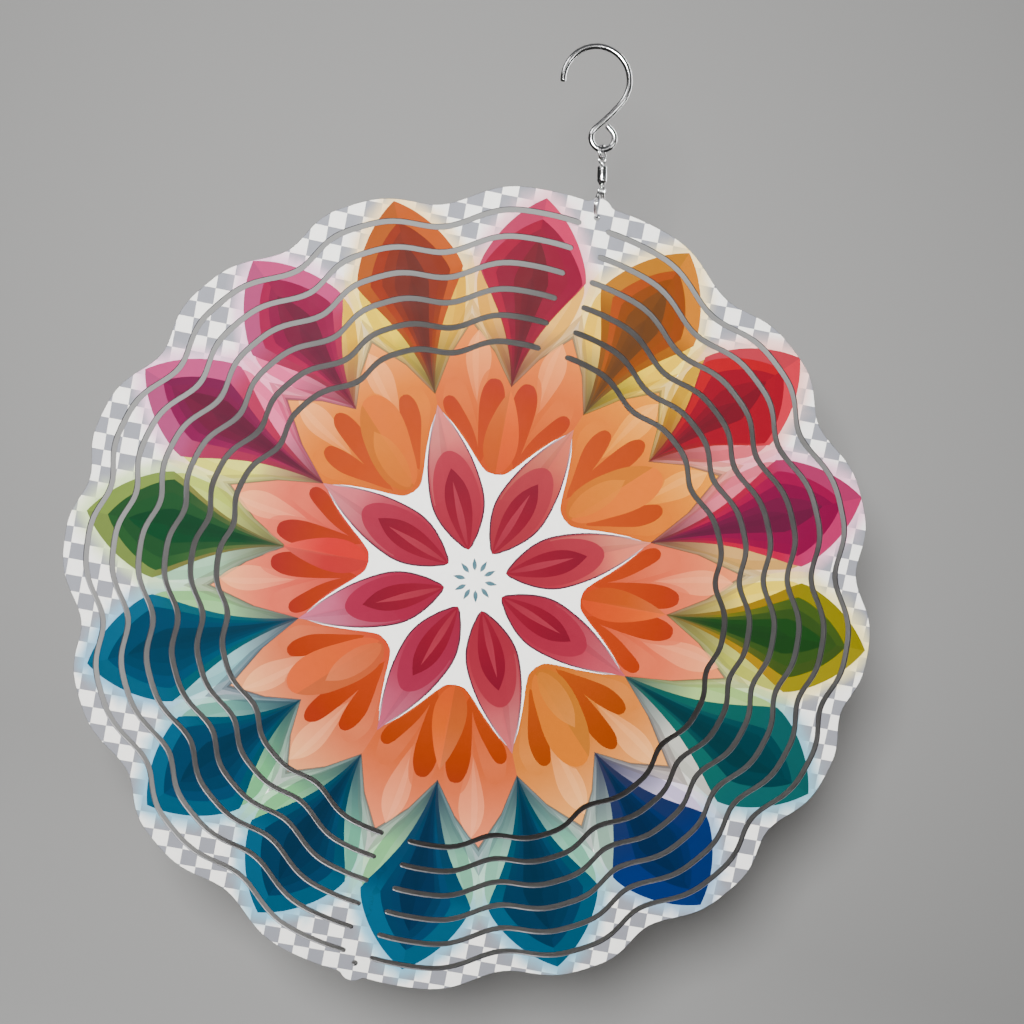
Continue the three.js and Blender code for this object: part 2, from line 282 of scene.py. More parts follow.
def hole_loop(up):
    turn = np.radians(np.arange(HOLE_SIDES) * TURN / HOLE_SIDES)
    radius = TAB_HOLE_RADIUS + CHAMFER / 2
    return np.stack((radius * np.cos(turn), up * TAB_HOLE_HEIGHT + radius * np.sin(turn)), axis=1)


# ---- The printed flower ----
# It is drawn in degrees clockwise from the top and millimetres from its own centre, which sits a
# little above the disc's. Its outer petals reach further down and to the right than up and left.

ART_CENTRE = np.array((-1.2, 5.7))
ART_STRETCH = (3.1, -3.8)  # extra millimetres to the right and to the top
STRETCH_FROM, STRETCH_FULL = 45.0, 112.0
ART_TURN = -7.3  # where the first outer petal points
OUTER_PETALS = 16
PETAL_STEP = TURN / OUTER_PETALS
PETAL_HALF = 9.8  # degrees, at its shoulders
PETAL_SHOULDER = 103.5
PETAL_TIP = 126.2
CURVE_STEPS = 4  # points between two stations of a drawn outline

PAPER = (255, 254, 253)
CHECK = (206, 207, 212)
CHECK_SIZE = 5.08
CHECK_TURN = 6.9  # degrees anticlockwise
CHECK_CORNER = np.array((-0.2, 127.2))
CHECK_FROM = 94.0  # no check nearer the centre than this

# Outer petals, clockwise from the top: radius where the tail ends, width of the body against the
# whole petal, and the tones.
Petal = namedtuple("Petal", "tail width rim body low core dusk")
PETALS = (
    Petal(63, 0.95, (236, 84, 130), (204, 28, 68), (208, 40, 58), (150, 26, 40), (130, 36, 38)),
    Petal(63, 0.74, (232, 166, 36), (208, 92, 24), (192, 108, 40), (148, 76, 28), (104, 80, 44)),
    Petal(67, 0.93, (242, 88, 106), (230, 30, 56), (216, 42, 50), (180, 26, 44), (158, 54, 46)),
    Petal(57, 0.80, (226, 82, 140), (200, 28, 92), (234, 46, 84), (152, 28, 76), (122, 54, 54)),
    Petal(62, 0.74, (190, 178, 56), (82, 118, 40), (206, 168, 66), (28, 92, 28), (128, 108, 60)),
    Petal(55, 0.56, (0, 134, 134), (4, 88, 102), (14, 138, 126), (0, 76, 90), (70, 96, 92)),
    Petal(67, 0.50, (32, 66, 164), (14, 56, 132), (40, 60, 134), (8, 50, 112), (54, 54, 92)),
    Petal(64, 0.74, (0, 128, 168), (0, 80, 130), (8, 110, 142), (0, 64, 108), (42, 70, 92)),
    Petal(65, 0.64, (0, 138, 178), (2, 90, 144), (34, 88, 134), (0, 60, 112), (40, 62, 92)),
    Petal(66, 0.72, (0, 130, 170), (0, 80, 130), (10, 100, 138), (0, 62, 108), (44, 74, 98)),
    Petal(67, 0.76, (0, 130, 170), (0, 90, 140), (16, 108, 138), (0, 68, 112), (42, 80, 102)),
    Petal(56, 0.76, (2, 132, 170), (0, 94, 140), (26, 124, 140), (0, 74, 114), (88, 82, 98)),
    Petal(61, 0.86, (164, 186, 108), (46, 112, 52), (158, 152, 84), (14, 88, 40), (118, 110, 72)),
    Petal(56, 0.64, (224, 110, 166), (170, 30, 94), (216, 56, 98), (140, 24, 60), (132, 50, 56)),
    Petal(67, 0.74, (226, 106, 162), (204, 24, 90), (216, 52, 96), (150, 24, 60), (150, 50, 60)),
    Petal(61, 0.76, (226, 118, 38), (190, 54, 28), (216, 94, 34), (144, 38, 26), (112, 84, 48)),
)
GAP_TONES = (
    (206, 166, 100), (226, 190, 70), (226, 140, 110), (206, 180, 120), (186, 190, 120), (152, 136, 130),
    (150, 166, 158), (112, 152, 152), (150, 166, 150), (142, 168, 150), (88, 112, 128), (150, 164, 128),
    (196, 192, 120), (214, 50, 96), (214, 186, 110), (222, 180, 96),
)

# The pale leaves to the left and right of each outer petal.
LEAVES = (
    ((242, 204, 122), (246, 214, 142)),
    ((248, 226, 140), (250, 230, 96)),
    ((232, 196, 78), (244, 142, 154)),
    ((243, 146, 166), (232, 198, 136)),
    ((248, 236, 156), (218, 220, 142)),
    ((204, 226, 172), (222, 222, 216)),
    ((230, 224, 238), (192, 214, 202)),
    ((174, 220, 202), (184, 222, 206)),
    ((174, 218, 198), (182, 224, 184)),
    ((156, 212, 190), (170, 222, 178)),
    ((160, 218, 174), (160, 210, 198)),
    ((186, 220, 222), (184, 222, 174)),
    ((200, 226, 206), (218, 226, 150)),
    ((238, 236, 168), (248, 150, 188)),
    ((248, 150, 190), (242, 214, 112)),
    ((247, 230, 112), (242, 208, 98)),
)

# The soft tint that each outer petal throws on the white round it.
GLOWS = (
    (250, 232, 236), (253, 246, 226), (253, 236, 232), (250, 232, 240),
    (252, 248, 226), (206, 232, 240), (214, 230, 242), (204, 232, 242),
    (204, 234, 244), (206, 234, 244), (204, 232, 242), (204, 230, 242),
    (240, 246, 226), (250, 236, 244), (250, 236, 244), (253, 244, 224),
)

# Middle petals, in eight groups of two: tip, middle and base tones, then flames and drop.
Group = namedtuple("Group", "tip mid base flame drop")
GROUPS = (
    Group((252, 188, 122), (246, 146, 88), (238, 104, 56), (224, 72, 52), (243, 126, 66)),
    Group((252, 204, 112), (248, 164, 58), (242, 128, 32), (230, 96, 30), (246, 162, 38)),
    Group((252, 196, 156), (250, 152, 120), (240, 92, 56), (226, 74, 50), (243, 118, 60)),
    Group((250, 216, 166), (242, 172, 102), (236, 142, 66), (212, 90, 32), (236, 160, 80)),
    Group((251, 192, 160), (243, 142, 96), (238, 108, 60), (214, 74, 46), (240, 134, 76)),
    Group((249, 212, 176), (243, 152, 112), (243, 106, 76), (220, 70, 46), (241, 134, 86)),
    Group((252, 206, 170), (249, 144, 124), (242, 78, 70), (213, 52, 50), (244, 72, 74)),
    Group((252, 204, 146), (246, 160, 80), (240, 126, 42), (229, 92, 32), (240, 148, 58)),
)

# Inner petals: tones of the tip and of the body.
INNERS = (
    ((234, 146, 122), (217, 72, 86)),
    ((240, 168, 146), (218, 66, 86)),
    ((226, 104, 122), (214, 58, 86)),
    ((230, 134, 138), (214, 64, 84)),
    ((222, 116, 146), (208, 56, 92)),
    ((226, 138, 168), (212, 52, 90)),
    ((233, 148, 156), (214, 58, 88)),
    ((236, 156, 150), (219, 66, 88)),
)
INNER_DROP = (190, 28, 52)
INNER_SLIT = (218, 74, 96)
INNER_LINE = (104, 30, 56)
INNER_SHADE = (150, 20, 44)
HEART = (112, 158, 172)

# Tones that others are mixed with.
CHEVRON_DUSK = (70, 62, 56)
DEEPEST = (16, 12, 20)
GROUP_LINE = (96, 48, 24)
BLADE_TONE = (255, 232, 206)
EMBER_TONE = (240, 110, 30)

layers = []
creases = []


def stretch(angle, radius):
    reach = ART_STRETCH[0] * np.sin(angle) + ART_STRETCH[1] * np.cos(angle)
    return reach * smoothstep(radius, STRETCH_FROM, STRETCH_FULL)


def art_points(degrees, radius):
    a = np.radians(np.asarray(degrees, float))
    radius = np.asarray(radius, float)
    r = radius + stretch(a, radius)
    return ART_CENTRE + np.stack((r * np.sin(a), r * np.cos(a)), axis=-1)


def art_polar(points):
    """Degrees and millimetres in the flower's own frame of points on the disc."""
    offset = points - ART_CENTRE
    a = np.arctan2(offset[..., 0], offset[..., 1])
    reach = np.linalg.norm(offset, axis=-1)
    radius = reach
    for _ in range(4):
        radius = reach - stretch(a, radius)
    return np.degrees(a), radius


def smooth_line(stations):
    """Catmull-Rom curve through rows of numbers, straight out of its two ends."""
    p = np.asarray(stations, float)
    p = np.concatenate((2 * p[:1] - p[1:2], p, 2 * p[-1:] - p[-2:-1]))
    t = np.arange(CURVE_STEPS)[:, None] / CURVE_STEPS
    rows = []
    for a, b, c, d in zip(p, p[1:], p[2:], p[3:]):
        square = a - 2.5 * b + 2 * c - d / 2
        cube = 3 * (b - c) + d - a
        rows.append(b + t * (c - a) / 2 + t**2 * square + t**3 * cube / 2)
    rows.append(p[-2:-1])
    return np.concatenate(rows)


def lay(outline, tones, veil=1.0, axis=None, fold=0.0):
    """Puts a shape on top of the print. tones are (radius, colour) rows from the centre outwards,
    veil is how solid it is, or (radius, veil) rows, and fold shades its two sides apart."""
    if fold:
        creases.append(art_points([axis, axis], [tones[0][0] + 2, art_polar(outline)[1].max() - 1]))
    layers.append(dict(outline=outline, tones=tones, veil=veil, axis=axis, fold=fold))


def leaf(axis, stations):
    """The outline of a shape given as rows of radius, left and right degrees from its axis."""
    rows = smooth_line(stations)
    left = art_points(axis + rows[:, 1], rows[:, 0])
    right = art_points(axis + rows[::-1, 2], rows[::-1, 0])
    return np.concatenate((left, right[1:-1]))


def even(stations, width=1.0):
    """Rows of radius and half width as rows for leaf()."""
    return [(r, -w * width, w * width) for r, w in stations]


def mirrored(stations):
    return [(r, -right, -left) for r, left, right in stations]


def mixed(a, b, share):
    return tuple(np.asarray(a) * (1 - share) + np.asarray(b) * share)


# Share of the way along a petal's lower or upper part, and share of its full width there.
KITE_BELOW = ((0, 0), (0.1, 0.07), (0.25, 0.19), (0.5, 0.43), (0.75, 0.73), (0.9, 0.91), (1, 1))
KITE_ABOVE = (
    (0, 1), (0.12, 0.94), (0.26, 0.84), (0.45, 0.68), (0.63, 0.5), (0.8, 0.3), (0.92, 0.13), (1, 0),
)


def kite(axis, tail, shoulder, tip, half):
    """An outer petal: straight sides up from its tail, a corner at the shoulder and a round upper
    edge drawn out into a tip."""
    below = smooth_line([(tail + v * (shoulder - tail), half * w) for v, w in KITE_BELOW])
    above = smooth_line([(shoulder + v * (tip - shoulder), half * w) for v, w in KITE_ABOVE])
    rows = np.concatenate((below, above[1:]))
    left = art_points(axis - rows[:, 1], rows[:, 0])
    right = art_points(axis + rows[::-1, 1], rows[::-1, 0])
    return np.concatenate((left, right[1:-1]))


def one_side(stations, side, width=1.0):
    """Rows of radius and width as rows for leaf(), to one side of the axis."""
    if side > 0:
        return [(r, 0, w * width) for r, w in stations]
    return [(r, -w * width, 0) for r, w in stations]


def companion(tail):
    """The leaf behind an outer petal: it swells out quickly and ends at the petal's shoulder."""
    top = PETAL_SHOULDER
    return [
        (tail, 0), (tail + 5, 2.2), (tail + 11, 5.3), (tail + 18, 8), (tail + 26, 9.7), (top - 7, 10.2),
        (top - 2, 9.9), (top + 2, 8.4), (top + 4, 6), (top + 4.5, 0),
    ]


def wide_companion(tail):
    top = PETAL_SHOULDER
    return [
        (tail, 0), (tail + 6, 3.4), (tail + 12, 6.8), (tail + 20, 9.9), (tail + 28, 11.2), (top - 4, 11.9),
        (top + 4, 11.4), (top + 10, 9.2), (top + 14, 6), (top + 16, 0),
    ]


def petal_axis(number):
    return ART_TURN + PETAL_STEP * number


def draw_leaves():
    for number, (petal, pair) in enumerate(zip(PETALS, LEAVES)):
        tail = petal.tail
        axis = petal_axis(number)
        for side, tint in zip((-1, 1), pair):
            pale = mixed(tint, PAPER, 0.5)
            dusk = mixed(petal.dusk, tint, 0.25)
            veil = [(PETAL_SHOULDER - 12, 0.9), (PETAL_SHOULDER + 7, 0.0)]
            tones = [(tail + 2, mixed(dusk, pale, 0.4)), (tail + 18, pale)]
            lay(leaf(axis, one_side(wide_companion(tail), side)), tones, veil)
            tones = [(tail + 3, dusk), (tail + 12, mixed(dusk, tint, 0.5)), (tail + 22, tint)]
            tones += [(PETAL_SHOULDER, mixed(tint, PAPER, 0.12))]
            lay(leaf(axis, one_side(companion(tail), side)), tones)
            tones = [(tail + 8, mixed(dusk, tint, 0.45)), (tail + 24, mixed(tint, PAPER, 0.28))]
            lay(leaf(axis, one_side(companion(tail + 4), side, 0.82)), tones, 0.7)


def draw_chevrons():
    """Dusky strips above the middle petals' tips, and a pale one between them."""
    half = PETAL_STEP / 2
    for number, petal in enumerate(PETALS):
        tail = petal.tail
        next_tail = PETALS[(number + 1) % OUTER_PETALS].tail
        axis = petal_axis(number) + half
        gap = GAP_TONES[number]
        dusk = mixed(gap, CHEVRON_DUSK, 0.45)
        pale = mixed(gap, PAPER, 0.62)
        for rise, tint, veil in ((9.0, gap, 0.3), (5.6, pale, 0.4), (3.2, gap, 0.32), (1.5, dusk, 0.42)):
            apex = MIDDLE_TIP + rise
            rows = [(-half, tail + rise * 0.25), (-half / 2, (tail + apex) / 2 + 0.5), (0, apex)]
            rows += [(half / 2, (next_tail + apex) / 2 + 0.5), (half, next_tail + rise * 0.25), (0, 66)]
            outline = art_points([axis + a for a, _ in rows], [r for _, r in rows])
            lay(outline, [(64, mixed(tint, petal.dusk, 0.4)), (80, tint)], veil)


# Each drawn inside the last: how far its tip stays below the petal's, and its share of the width.
BODY_INSET = 6.6
FACET_INSET = 9.6
FACET_WIDTH = 0.72
CORE_INSET = 13.0
CORE_WIDTH = 0.33
SPINE_INSET = 25.0
SPINE_WIDTH = 0.13


def draw_outer_petals():
    top = PETAL_SHOULDER
    tip = PETAL_TIP
    for number, petal in enumerate(PETALS):
        axis = petal_axis(number)
        tail, width, rim, body, low, core, dusk = petal
        deep = mixed(core, DEEPEST, 0.25)
        tones = [(tail, dusk), (tail + 13, mixed(low, dusk, 0.35)), (tail + 24, low)]
        tones += [(top - 6, mixed(low, rim, 0.25)), (top + 1, rim)]
        lay(kite(axis, tail, top, tip, PETAL_HALF), tones, axis=axis, fold=0.03)
        tones = [(tail + 4, dusk), (tail + 17, mixed(low, body, 0.45))]
        tones += [(top - 4, body), (tip, mixed(body, core, 0.1))]
        outline = kite(axis, tail + 1.5, top - 1, tip - BODY_INSET, PETAL_HALF * width)
        lay(outline, tones, axis=axis, fold=-0.05)
        tones = [(tail + 8, mixed(body, core, 0.55)), (112, mixed(body, core, 0.4))]
        outline = kite(axis, tail + 2, top - 2, tip - FACET_INSET, PETAL_HALF * width * FACET_WIDTH)
        lay(outline, tones, 0.8, axis, 0.04)
        tones = [(tail + 3, mixed(dusk, core, 0.45)), (tail + 15, mixed(core, deep, 0.3)), (108, core)]
        outline = kite(axis, tail + 1, top - 4, tip - CORE_INSET, PETAL_HALF * CORE_WIDTH)
        lay(outline, tones, axis=axis, fold=-0.05)
        tones = [(tail + 6, deep), (100, mixed(core, deep, 0.6))]
        lay(kite(axis, tail + 6, top - 9, tip - SPINE_INSET, PETAL_HALF * SPINE_WIDTH), tones, 0.5)


# Rows of radius, left and right degrees from the axis of a group of middle petals.
BLADE = [
    (56, 0, 0), (60, -1.4, 1.4), (65, -2.5, 2.5), (70, -3.2, 3.2), (74, -3.1, 3.1), (78, -2.1, 2.1),
    (82, 0, 0),
]
INNER_LOBE = [
    (69, 5.2, 5.2), (68.3, 3.6, 6.8), (66, 2.2, 8.2), (62, 1.2, 9.3), (56, 0.8, 10), (50, 1, 9.5),
    (44, 2, 8.5), (39, 3, 6), (38, 4, 4),
]
OUTER_LOBE = [
    (66, 16.4, 16.4), (65.3, 14.8, 17.9), (63, 13.4, 19.4), (58, 12, 20.3), (52.5, 10.6, 18.4),
    (46, 8.6, 14.8), (41, 6.4, 10.6), (39, 8, 8),
]
INNER_FLAME = [
    (65.4, 4.9, 4.9), (64.8, 3.3, 6.5), (62, 1.9, 8.1), (58, 1.2, 9), (54, 1.4, 9.3), (50, 2.4, 9.4),
    (46, 3.9, 9.4), (42, 5.5, 9.3), (39, 7, 8.9), (37.6, 8.1, 8.1),
]
OUTER_FLAME = [
    (60, 18.6, 18.6), (59.4, 17.2, 19.9), (57.5, 15.9, 20.7), (54, 14.2, 20.2), (50, 12.2, 17.6),
    (46, 10.5, 14.7), (42, 9.2, 11.9), (39.8, 8.8, 10), (38.8, 9.1, 9.1),
]
DROP = [
    (62, 0, 0), (58, -2.1, 2.1), (53, -4.3, 4.3), (48, -6.2, 6.2), (43.5, -7.1, 7.1), (40, -6.7, 6.7),
    (37, -4.9, 4.9), (35.4, -2.7, 2.7), (34.7, 0, 0),
]
TALL_FLAME = [
    (70, -5, -5), (69.2, -6.3, -3.8), (66.5, -7.6, -2.6), (61, -8.3, -2), (55, -8.7, -2.6),
    (49, -8.9, -4), (43, -8.7, -6), (39.5, -8, -7.2), (38.6, -7.7, -7.7),
]
WIDE_FLAME = [
    (64, 13.6, 13.6), (63.2, 12.1, 15.1), (60, 10.8, 16.3), (55, 9.6, 16.3), (50, 8.7, 14.6),
    (45, 7.9, 12), (41, 7.3, 9.5), (39.3, 7.9, 7.9),
]
BOLD_LOBE = [
    (68.5, 4.6, 4.6), (67.8, 2.6, 6.6), (65, 0.2, 8.8), (60, -2.6, 10.4), (54, -4.8, 10.6),
    (48, -6.6, 9.7), (42, -7.2, 8.2), (38.3, -5.5, 6), (36.4, -2.8, 3), (35.7, 0, 0),
]
SMALL_DROP = [
    (57.5, 0.6, 0.6), (53, -2.5, 3.3), (48, -4.2, 4.7), (43, -4.6, 4.8), (39, -3.4, 3.4),
    (37, -1.7, 1.7), (36.3, 0, 0),
]
GROUP_SIDE = [(34.3, 0), (35.1, 5), (38, 9), (41.4, 12), (46.8, 16), (51.4, 19), (56.4, 22.55)]
MIDDLE_TIP = 84.5
BLADE_TURN = 9.6  # degrees between a group's axis and each of its two blades


def draw_group_half(number, side):
    """Half of a group's ground: its outline, a line round it, a soft lobe and a pale blade."""
    tip, mid, base, _, _ = GROUPS[number]
    axis = petal_axis(2 * number)
    half = PETAL_STEP / 2
    tail = PETALS[2 * number].tail
    valley = PETALS[(2 * number + side) % OUTER_PETALS].tail
    rows = [(a, r) for r, a in smooth_line(GROUP_SIDE)]
    rows += [(2 * half + 0.05, max(valley, 57)), (1.5 * half, (valley + MIDDLE_TIP) / 2 + 0.5)]
    rows += [(half, MIDDLE_TIP), (0.5 * half, (tail + MIDDLE_TIP) / 2 + 0.5), (0, tail)]
    degrees = [axis + side * a for a, _ in rows]
    grown = [r + 0.5 * (r > 56) for _, r in rows]
    line = mixed(base, GROUP_LINE, 0.55)
    lay(art_points(degrees, grown), [(40, line), (84, mixed(tip, line, 0.5))], 0.5)
    ramp = [(36, base), (52, mixed(base, mid, 0.7)), (62, mid), (76, mixed(mid, tip, 0.7)), (84, tip)]
    lay(art_points(degrees, [r for _, r in rows]), ramp)
    turn = list if side > 0 else mirrored
    soft = [(40, mixed(base, mid, 0.4)), (60, mixed(mid, tip, 0.25)), (68, mixed(mid, tip, 0.05))]
    lay(leaf(axis, turn(OUTER_LOBE)), soft, 0.8)
    pale = mixed(tip, BLADE_TONE, 0.5)
    blade = [(56, mixed(mid, pale, 0.25)), (66, mixed(mid, pale, 0.7)), (78, pale)]
    lay(leaf(axis + side * BLADE_TURN, BLADE), blade, 0.85)
    near_half = [(r, 0.5 * left, 0) for r, left, _ in BLADE]
    lay(leaf(axis + side * BLADE_TURN, near_half), [(56, pale), (80, mixed(pale, PAPER, 0.3))], 0.3)


def draw_bold_group(axis, tones, ember):
    """A group with one bold lobe in front of a tall flame and two wide ones."""
    tip, mid, base, _, drop = tones
    lay(leaf(axis, INNER_LOBE), [(40, mixed(base, mid, 0.6)), (68, mixed(mid, tip, 0.2))], 0.7)
    for flame in (TALL_FLAME, WIDE_FLAME, mirrored(WIDE_FLAME)):
        lay(leaf(axis, flame), ember)
    bold = [(38, mixed(drop, base, 0.4)), (52, drop), (68, mixed(drop, mid, 0.4))]
    lay(leaf(axis, BOLD_LOBE), bold, axis=axis + 2, fold=0.03)
    lay(leaf(axis, SMALL_DROP), [(38, mixed(drop, mid, 0.3)), (56, mixed(drop, tip, 0.45))], 0.8)


def draw_even_group(axis, tones, ember):
    """A group with two flames on each side of a drop."""
    tip, mid, base, _, drop = tones
    for turn in (list, mirrored):
        lay(leaf(axis, turn(INNER_LOBE)), [(40, mixed(base, mid, 0.5)), (68, mixed(mid, tip, 0.3))], 0.7)
        lay(leaf(axis, turn(INNER_FLAME)), ember)
        lay(leaf(axis, turn(OUTER_FLAME)), ember)
    small = [(36, mixed(drop, base, 0.6)), (48, drop), (61, mixed(drop, tip, 0.4))]
    lay(leaf(axis, DROP), small, axis=axis, fold=0.03)


def draw_middle_petals():
    for number, tones in enumerate(GROUPS):
        for side in (-1, 1):
            draw_group_half(number, side)
        hot = mixed(tones.flame, EMBER_TONE, 0.35)
        ember = [(40, mixed(hot, tones.base, 0.25)), (52, hot), (66, tones.flame)]
        draw = draw_bold_group if number % 2 else draw_even_group
        draw(petal_axis(2 * number), tones, ember)


INNER_BODY = [
    (10, 0), (11, 4.6), (12.5, 9), (15, 14), (19, 17.4), (23, 18.3), (27, 17.3), (31, 15), (35, 12.5),
    (39, 10.1), (44, 7), (49, 4.1), (53, 1.9), (57.5, 0),
]
INNER_TONE = [
    (10.6, 0), (12, 6.6), (15, 12.4), (19, 15.8), (23, 16.6), (28, 15), (33, 11.8), (37, 8.6),
    (40, 5.4), (41.8, 2.2), (42.2, 0),
]
INNER_CORE = [
    (10, 0), (11, 2.6), (13, 5.9), (17, 8.7), (22, 9.7), (27, 8.5), (31, 6), (34, 3), (36.6, 0),
]
INNER_GAP = [(11, 0), (13, 1.9), (17, 3), (21, 2.9), (26, 1.7), (32.4, 0)]


def outgrown(stations, margin, narrowing=0.0):
    """Rows of radius and half width, wider by a margin in millimetres that narrows to the tip."""
    rows = []
    for number, (r, w) in enumerate(stations):
        grown = margin * (1 - narrowing * float(smoothstep(r, 30, 55)))
        rows.append((r, w + math.degrees(grown / r) if 0 < number < len(stations) - 1 else w))
    return rows


def draw_inner_petals():
    for number, (tip, body) in enumerate(INNERS):
        axis = petal_axis(2 * number + 1)
        margin = [(30, 0.0), (36, 0.96), (46, 0.9), (52, 0.35), (56, 0.1)]
        lay(leaf(axis, even(outgrown(INNER_BODY, 1.0, 0.8))), [(10, PAPER), (60, PAPER)], margin)
        line = [(38, 0.92), (48, 0.45), (54, 0.1)]
        lay(leaf(axis, even(outgrown(INNER_BODY, 0.5))), [(10, INNER_LINE), (60, INNER_LINE)], line)
        ramp = [(12, mixed(body, INNER_DROP, 0.45)), (26, body), (38, mixed(body, tip, 0.45)), (46, tip)]
        ramp += [(57, mixed(tip, PAPER, 0.12))]
        lay(leaf(axis, even(INNER_BODY)), ramp, axis=axis, fold=0.02)
        sheen = [(r, -w * 0.94, -w * 0.35) for r, w in INNER_BODY[6:]]
        lay(leaf(axis, sheen), [(30, tip), (56, mixed(tip, PAPER, 0.4))], 0.35)
        lay(leaf(axis, even(INNER_TONE)), [(12, mixed(body, INNER_DROP, 0.3)), (40, body)], 0.9)
        core = [(11, mixed(INNER_DROP, body, 0.25)), (24, INNER_DROP)]
        core += [(36, mixed(INNER_DROP, INNER_SHADE, 0.3))]
        lay(leaf(axis, even(INNER_CORE)), core)
        slit = [(12, mixed(INNER_SLIT, INNER_DROP, 0.4)), (24, INNER_SLIT)]
        lay(leaf(axis - 0.6, even(INNER_GAP)), slit, 0.9)


def draw_heart():
    """Ten small leaves round the flower's centre."""
    rows = [(3.1, 0), (4, 7.5), (5, 8.2), (6, 4.6), (7.2, 0)]
    for number in range(10):
        axis = 14 + number * 36 + 3 * math.sin(5 * number)
        lay(leaf(axis, even(rows)), [(3, mixed(HEART, PAPER, 0.25)), (7, HEART)])


def check_lines():
    """The printed check's lines that cross the outer part of the disc, as pairs of points."""
    turn = math.radians(CHECK_TURN)
    across = np.array((math.cos(turn), math.sin(turn)))
    up = np.array((-math.sin(turn), math.cos(turn)))
    count = int(2 * TAB_TIP / CHECK_SIZE) + 4
    lines = []
    for i in range(-count, count):
        for j in range(-count, 4):
            start = CHECK_CORNER + CHECK_SIZE * (i * across + j * up)
            for way in (across, up):
                end = start + CHECK_SIZE * way
                reach = np.linalg.norm((start + end) / 2)
                if CHECK_FROM < reach < TAB_TIP + 1:
                    lines.append((start, end))
    return lines


def check_parity(points):
    """True on the grey squares."""
    turn = math.radians(CHECK_TURN)
    offset = (points - CHECK_CORNER) / CHECK_SIZE
    i = np.floor(offset[:, 0] * math.cos(turn) + offset[:, 1] * math.sin(turn))
    j = np.floor(offset[:, 1] * math.cos(turn) - offset[:, 0] * math.sin(turn))
    return (i + j) % 2 == 1


# ---- One triangulation of the whole printed face ----


def inside(points, loop):
    """Which points lie in a closed loop."""
    low, high = loop.min(0), loop.max(0)
    near = np.flatnonzero(((points >= low) & (points <= high)).all(1))
    x, z = points[near].T
    result = np.zeros(len(near), bool)
    for (x0, z0), (x1, z1) in zip(loop, np.roll(loop, -1, axis=0)):
        if z0 != z1:
            crosses = ((z0 > z) != (z1 > z)) & (x < (x1 - x0) * (z - z0) / (z1 - z0) + x0)
            result ^= crosses
    found = np.zeros(len(points), bool)
    found[near] = result
    return found


def triangulate(loops, strokes, spots):
    """Constrained Delaunay triangles through closed loops, open strokes and single spots."""
    points, edges = [], []
    for line, closed in [(loop, True) for loop in loops] + [(stroke, False) for stroke in strokes]:
        start = len(points)
        points.extend(Vector(p) for p in line)
        edges.extend((i, i + 1) for i in range(start, len(points) - 1))
        if closed:
            edges.append((len(points) - 1, start))
    points.extend(Vector(p) for p in spots)
    found = delaunay_2d_cdt(points, edges, [], 0, 1e-4, False)
    vertices = np.array([tuple(v) for v in found[0]])
    triangles = np.array([f for f in found[2] if len(f) == 3])
    a, b, c = (vertices[triangles[:, i]] for i in range(3))
    area = np.cross(b - a, c - a)
    triangles[area < 0] = triangles[area < 0][:, ::-1]
    return vertices, triangles[np.abs(area) > 1e-7]


def near_loop(points, loop):
    """Distance from points to a closed polyline."""
    best = np.full(len(points), 1e9)
    for a, b in zip(loop, np.roll(loop, -1, axis=0)):
        d = b - a
        t = np.clip((points - a) @ d / max(d @ d, 1e-12), 0, 1)
        best = np.minimum(best, np.linalg.norm(points - a - t[:, None] * d, axis=1))
    return best


def ramped(rows, radius):
    at = np.array([row[0] for row in rows])
    values = np.array([row[1] for row in rows], float)
    if values.ndim == 1:
        return np.interp(radius, at, values)
    return np.stack([np.interp(radius, at, values[:, i]) for i in range(3)], axis=-1)


def paper_colours(centres, corners, degrees, radius):
    """White with a printed check that fades under a soft glow round the petals."""
    colours = np.tile(np.array(PAPER, float), (len(corners), 3, 1))
    from_middle = np.linalg.norm(centres, axis=1)
    grey = check_parity(centres) & (from_middle > CHECK_FROM)
    strength = smoothstep(radius, 97, 108)[..., None]
    colours[grey] += ((np.array(CHECK) - PAPER) * strength)[grey]
    for number, glow in enumerate(GLOWS):
        axis = petal_axis(number)
        turned = np.abs((degrees - axis + 180) % TURN - 180)
        near = (turned.min(1) < 15) & (radius.max(1) > 84)
        outline = kite(axis, PETALS[number].tail, PETAL_SHOULDER, PETAL_TIP, PETAL_HALF)
        distance = near_loop(corners[near].reshape(-1, 2), outline).reshape(-1, 3)
        veil = (0.95 * (1 - smoothstep(distance, 0.5, 5.5)))[..., None]
        colours[near] = colours[near] * (1 - veil) + np.array(glow) * veil
    return colours


def printed_colours(vertices, triangles):
    """Linear colours at the three corners of each triangle."""
    corners = vertices[triangles]
    centres = corners.mean(1)
    degrees, radius = art_polar(corners)
    colours = paper_colours(centres, corners, degrees, radius)
    for layer in layers:
        on = inside(centres, layer["outline"])
        tone = ramped(layer["tones"], radius[on])
        if layer["fold"]:
            turned = (degrees[on].mean(1) - layer["axis"] + 180) % TURN - 180
            tone = np.clip(tone * (1 + layer["fold"] * np.sign(turned))[:, None, None], 0, 255)
        veil = layer["veil"]
        veil = ramped(veil, radius[on])[..., None] if isinstance(veil, list) else veil
        colours[on] = colours[on] * (1 - veil) + tone * veil
    return ink(colours)


# ---- Meshes ----


def to_frame(points, y):
    """Points on the disc, in millimetres, at a depth y, as frame coordinates in metres."""
    y = np.broadcast_to(y, len(points))
    return np.stack((DISC.x + points[:, 0] * MM, DISC.y + y * MM, DISC.z + points[:, 1] * MM), axis=1)


def new_object(name, vertices, faces, material):
    mesh = bpy.data.meshes.new(name)
    mesh.from_pydata([tuple(v) for v in vertices], [], [tuple(f) for f in faces])
    mesh.update()
    mesh.materials.append(material)
    made = bpy.data.objects.new(name, mesh)
    bpy.context.scene.collection.objects.link(made)
    return made


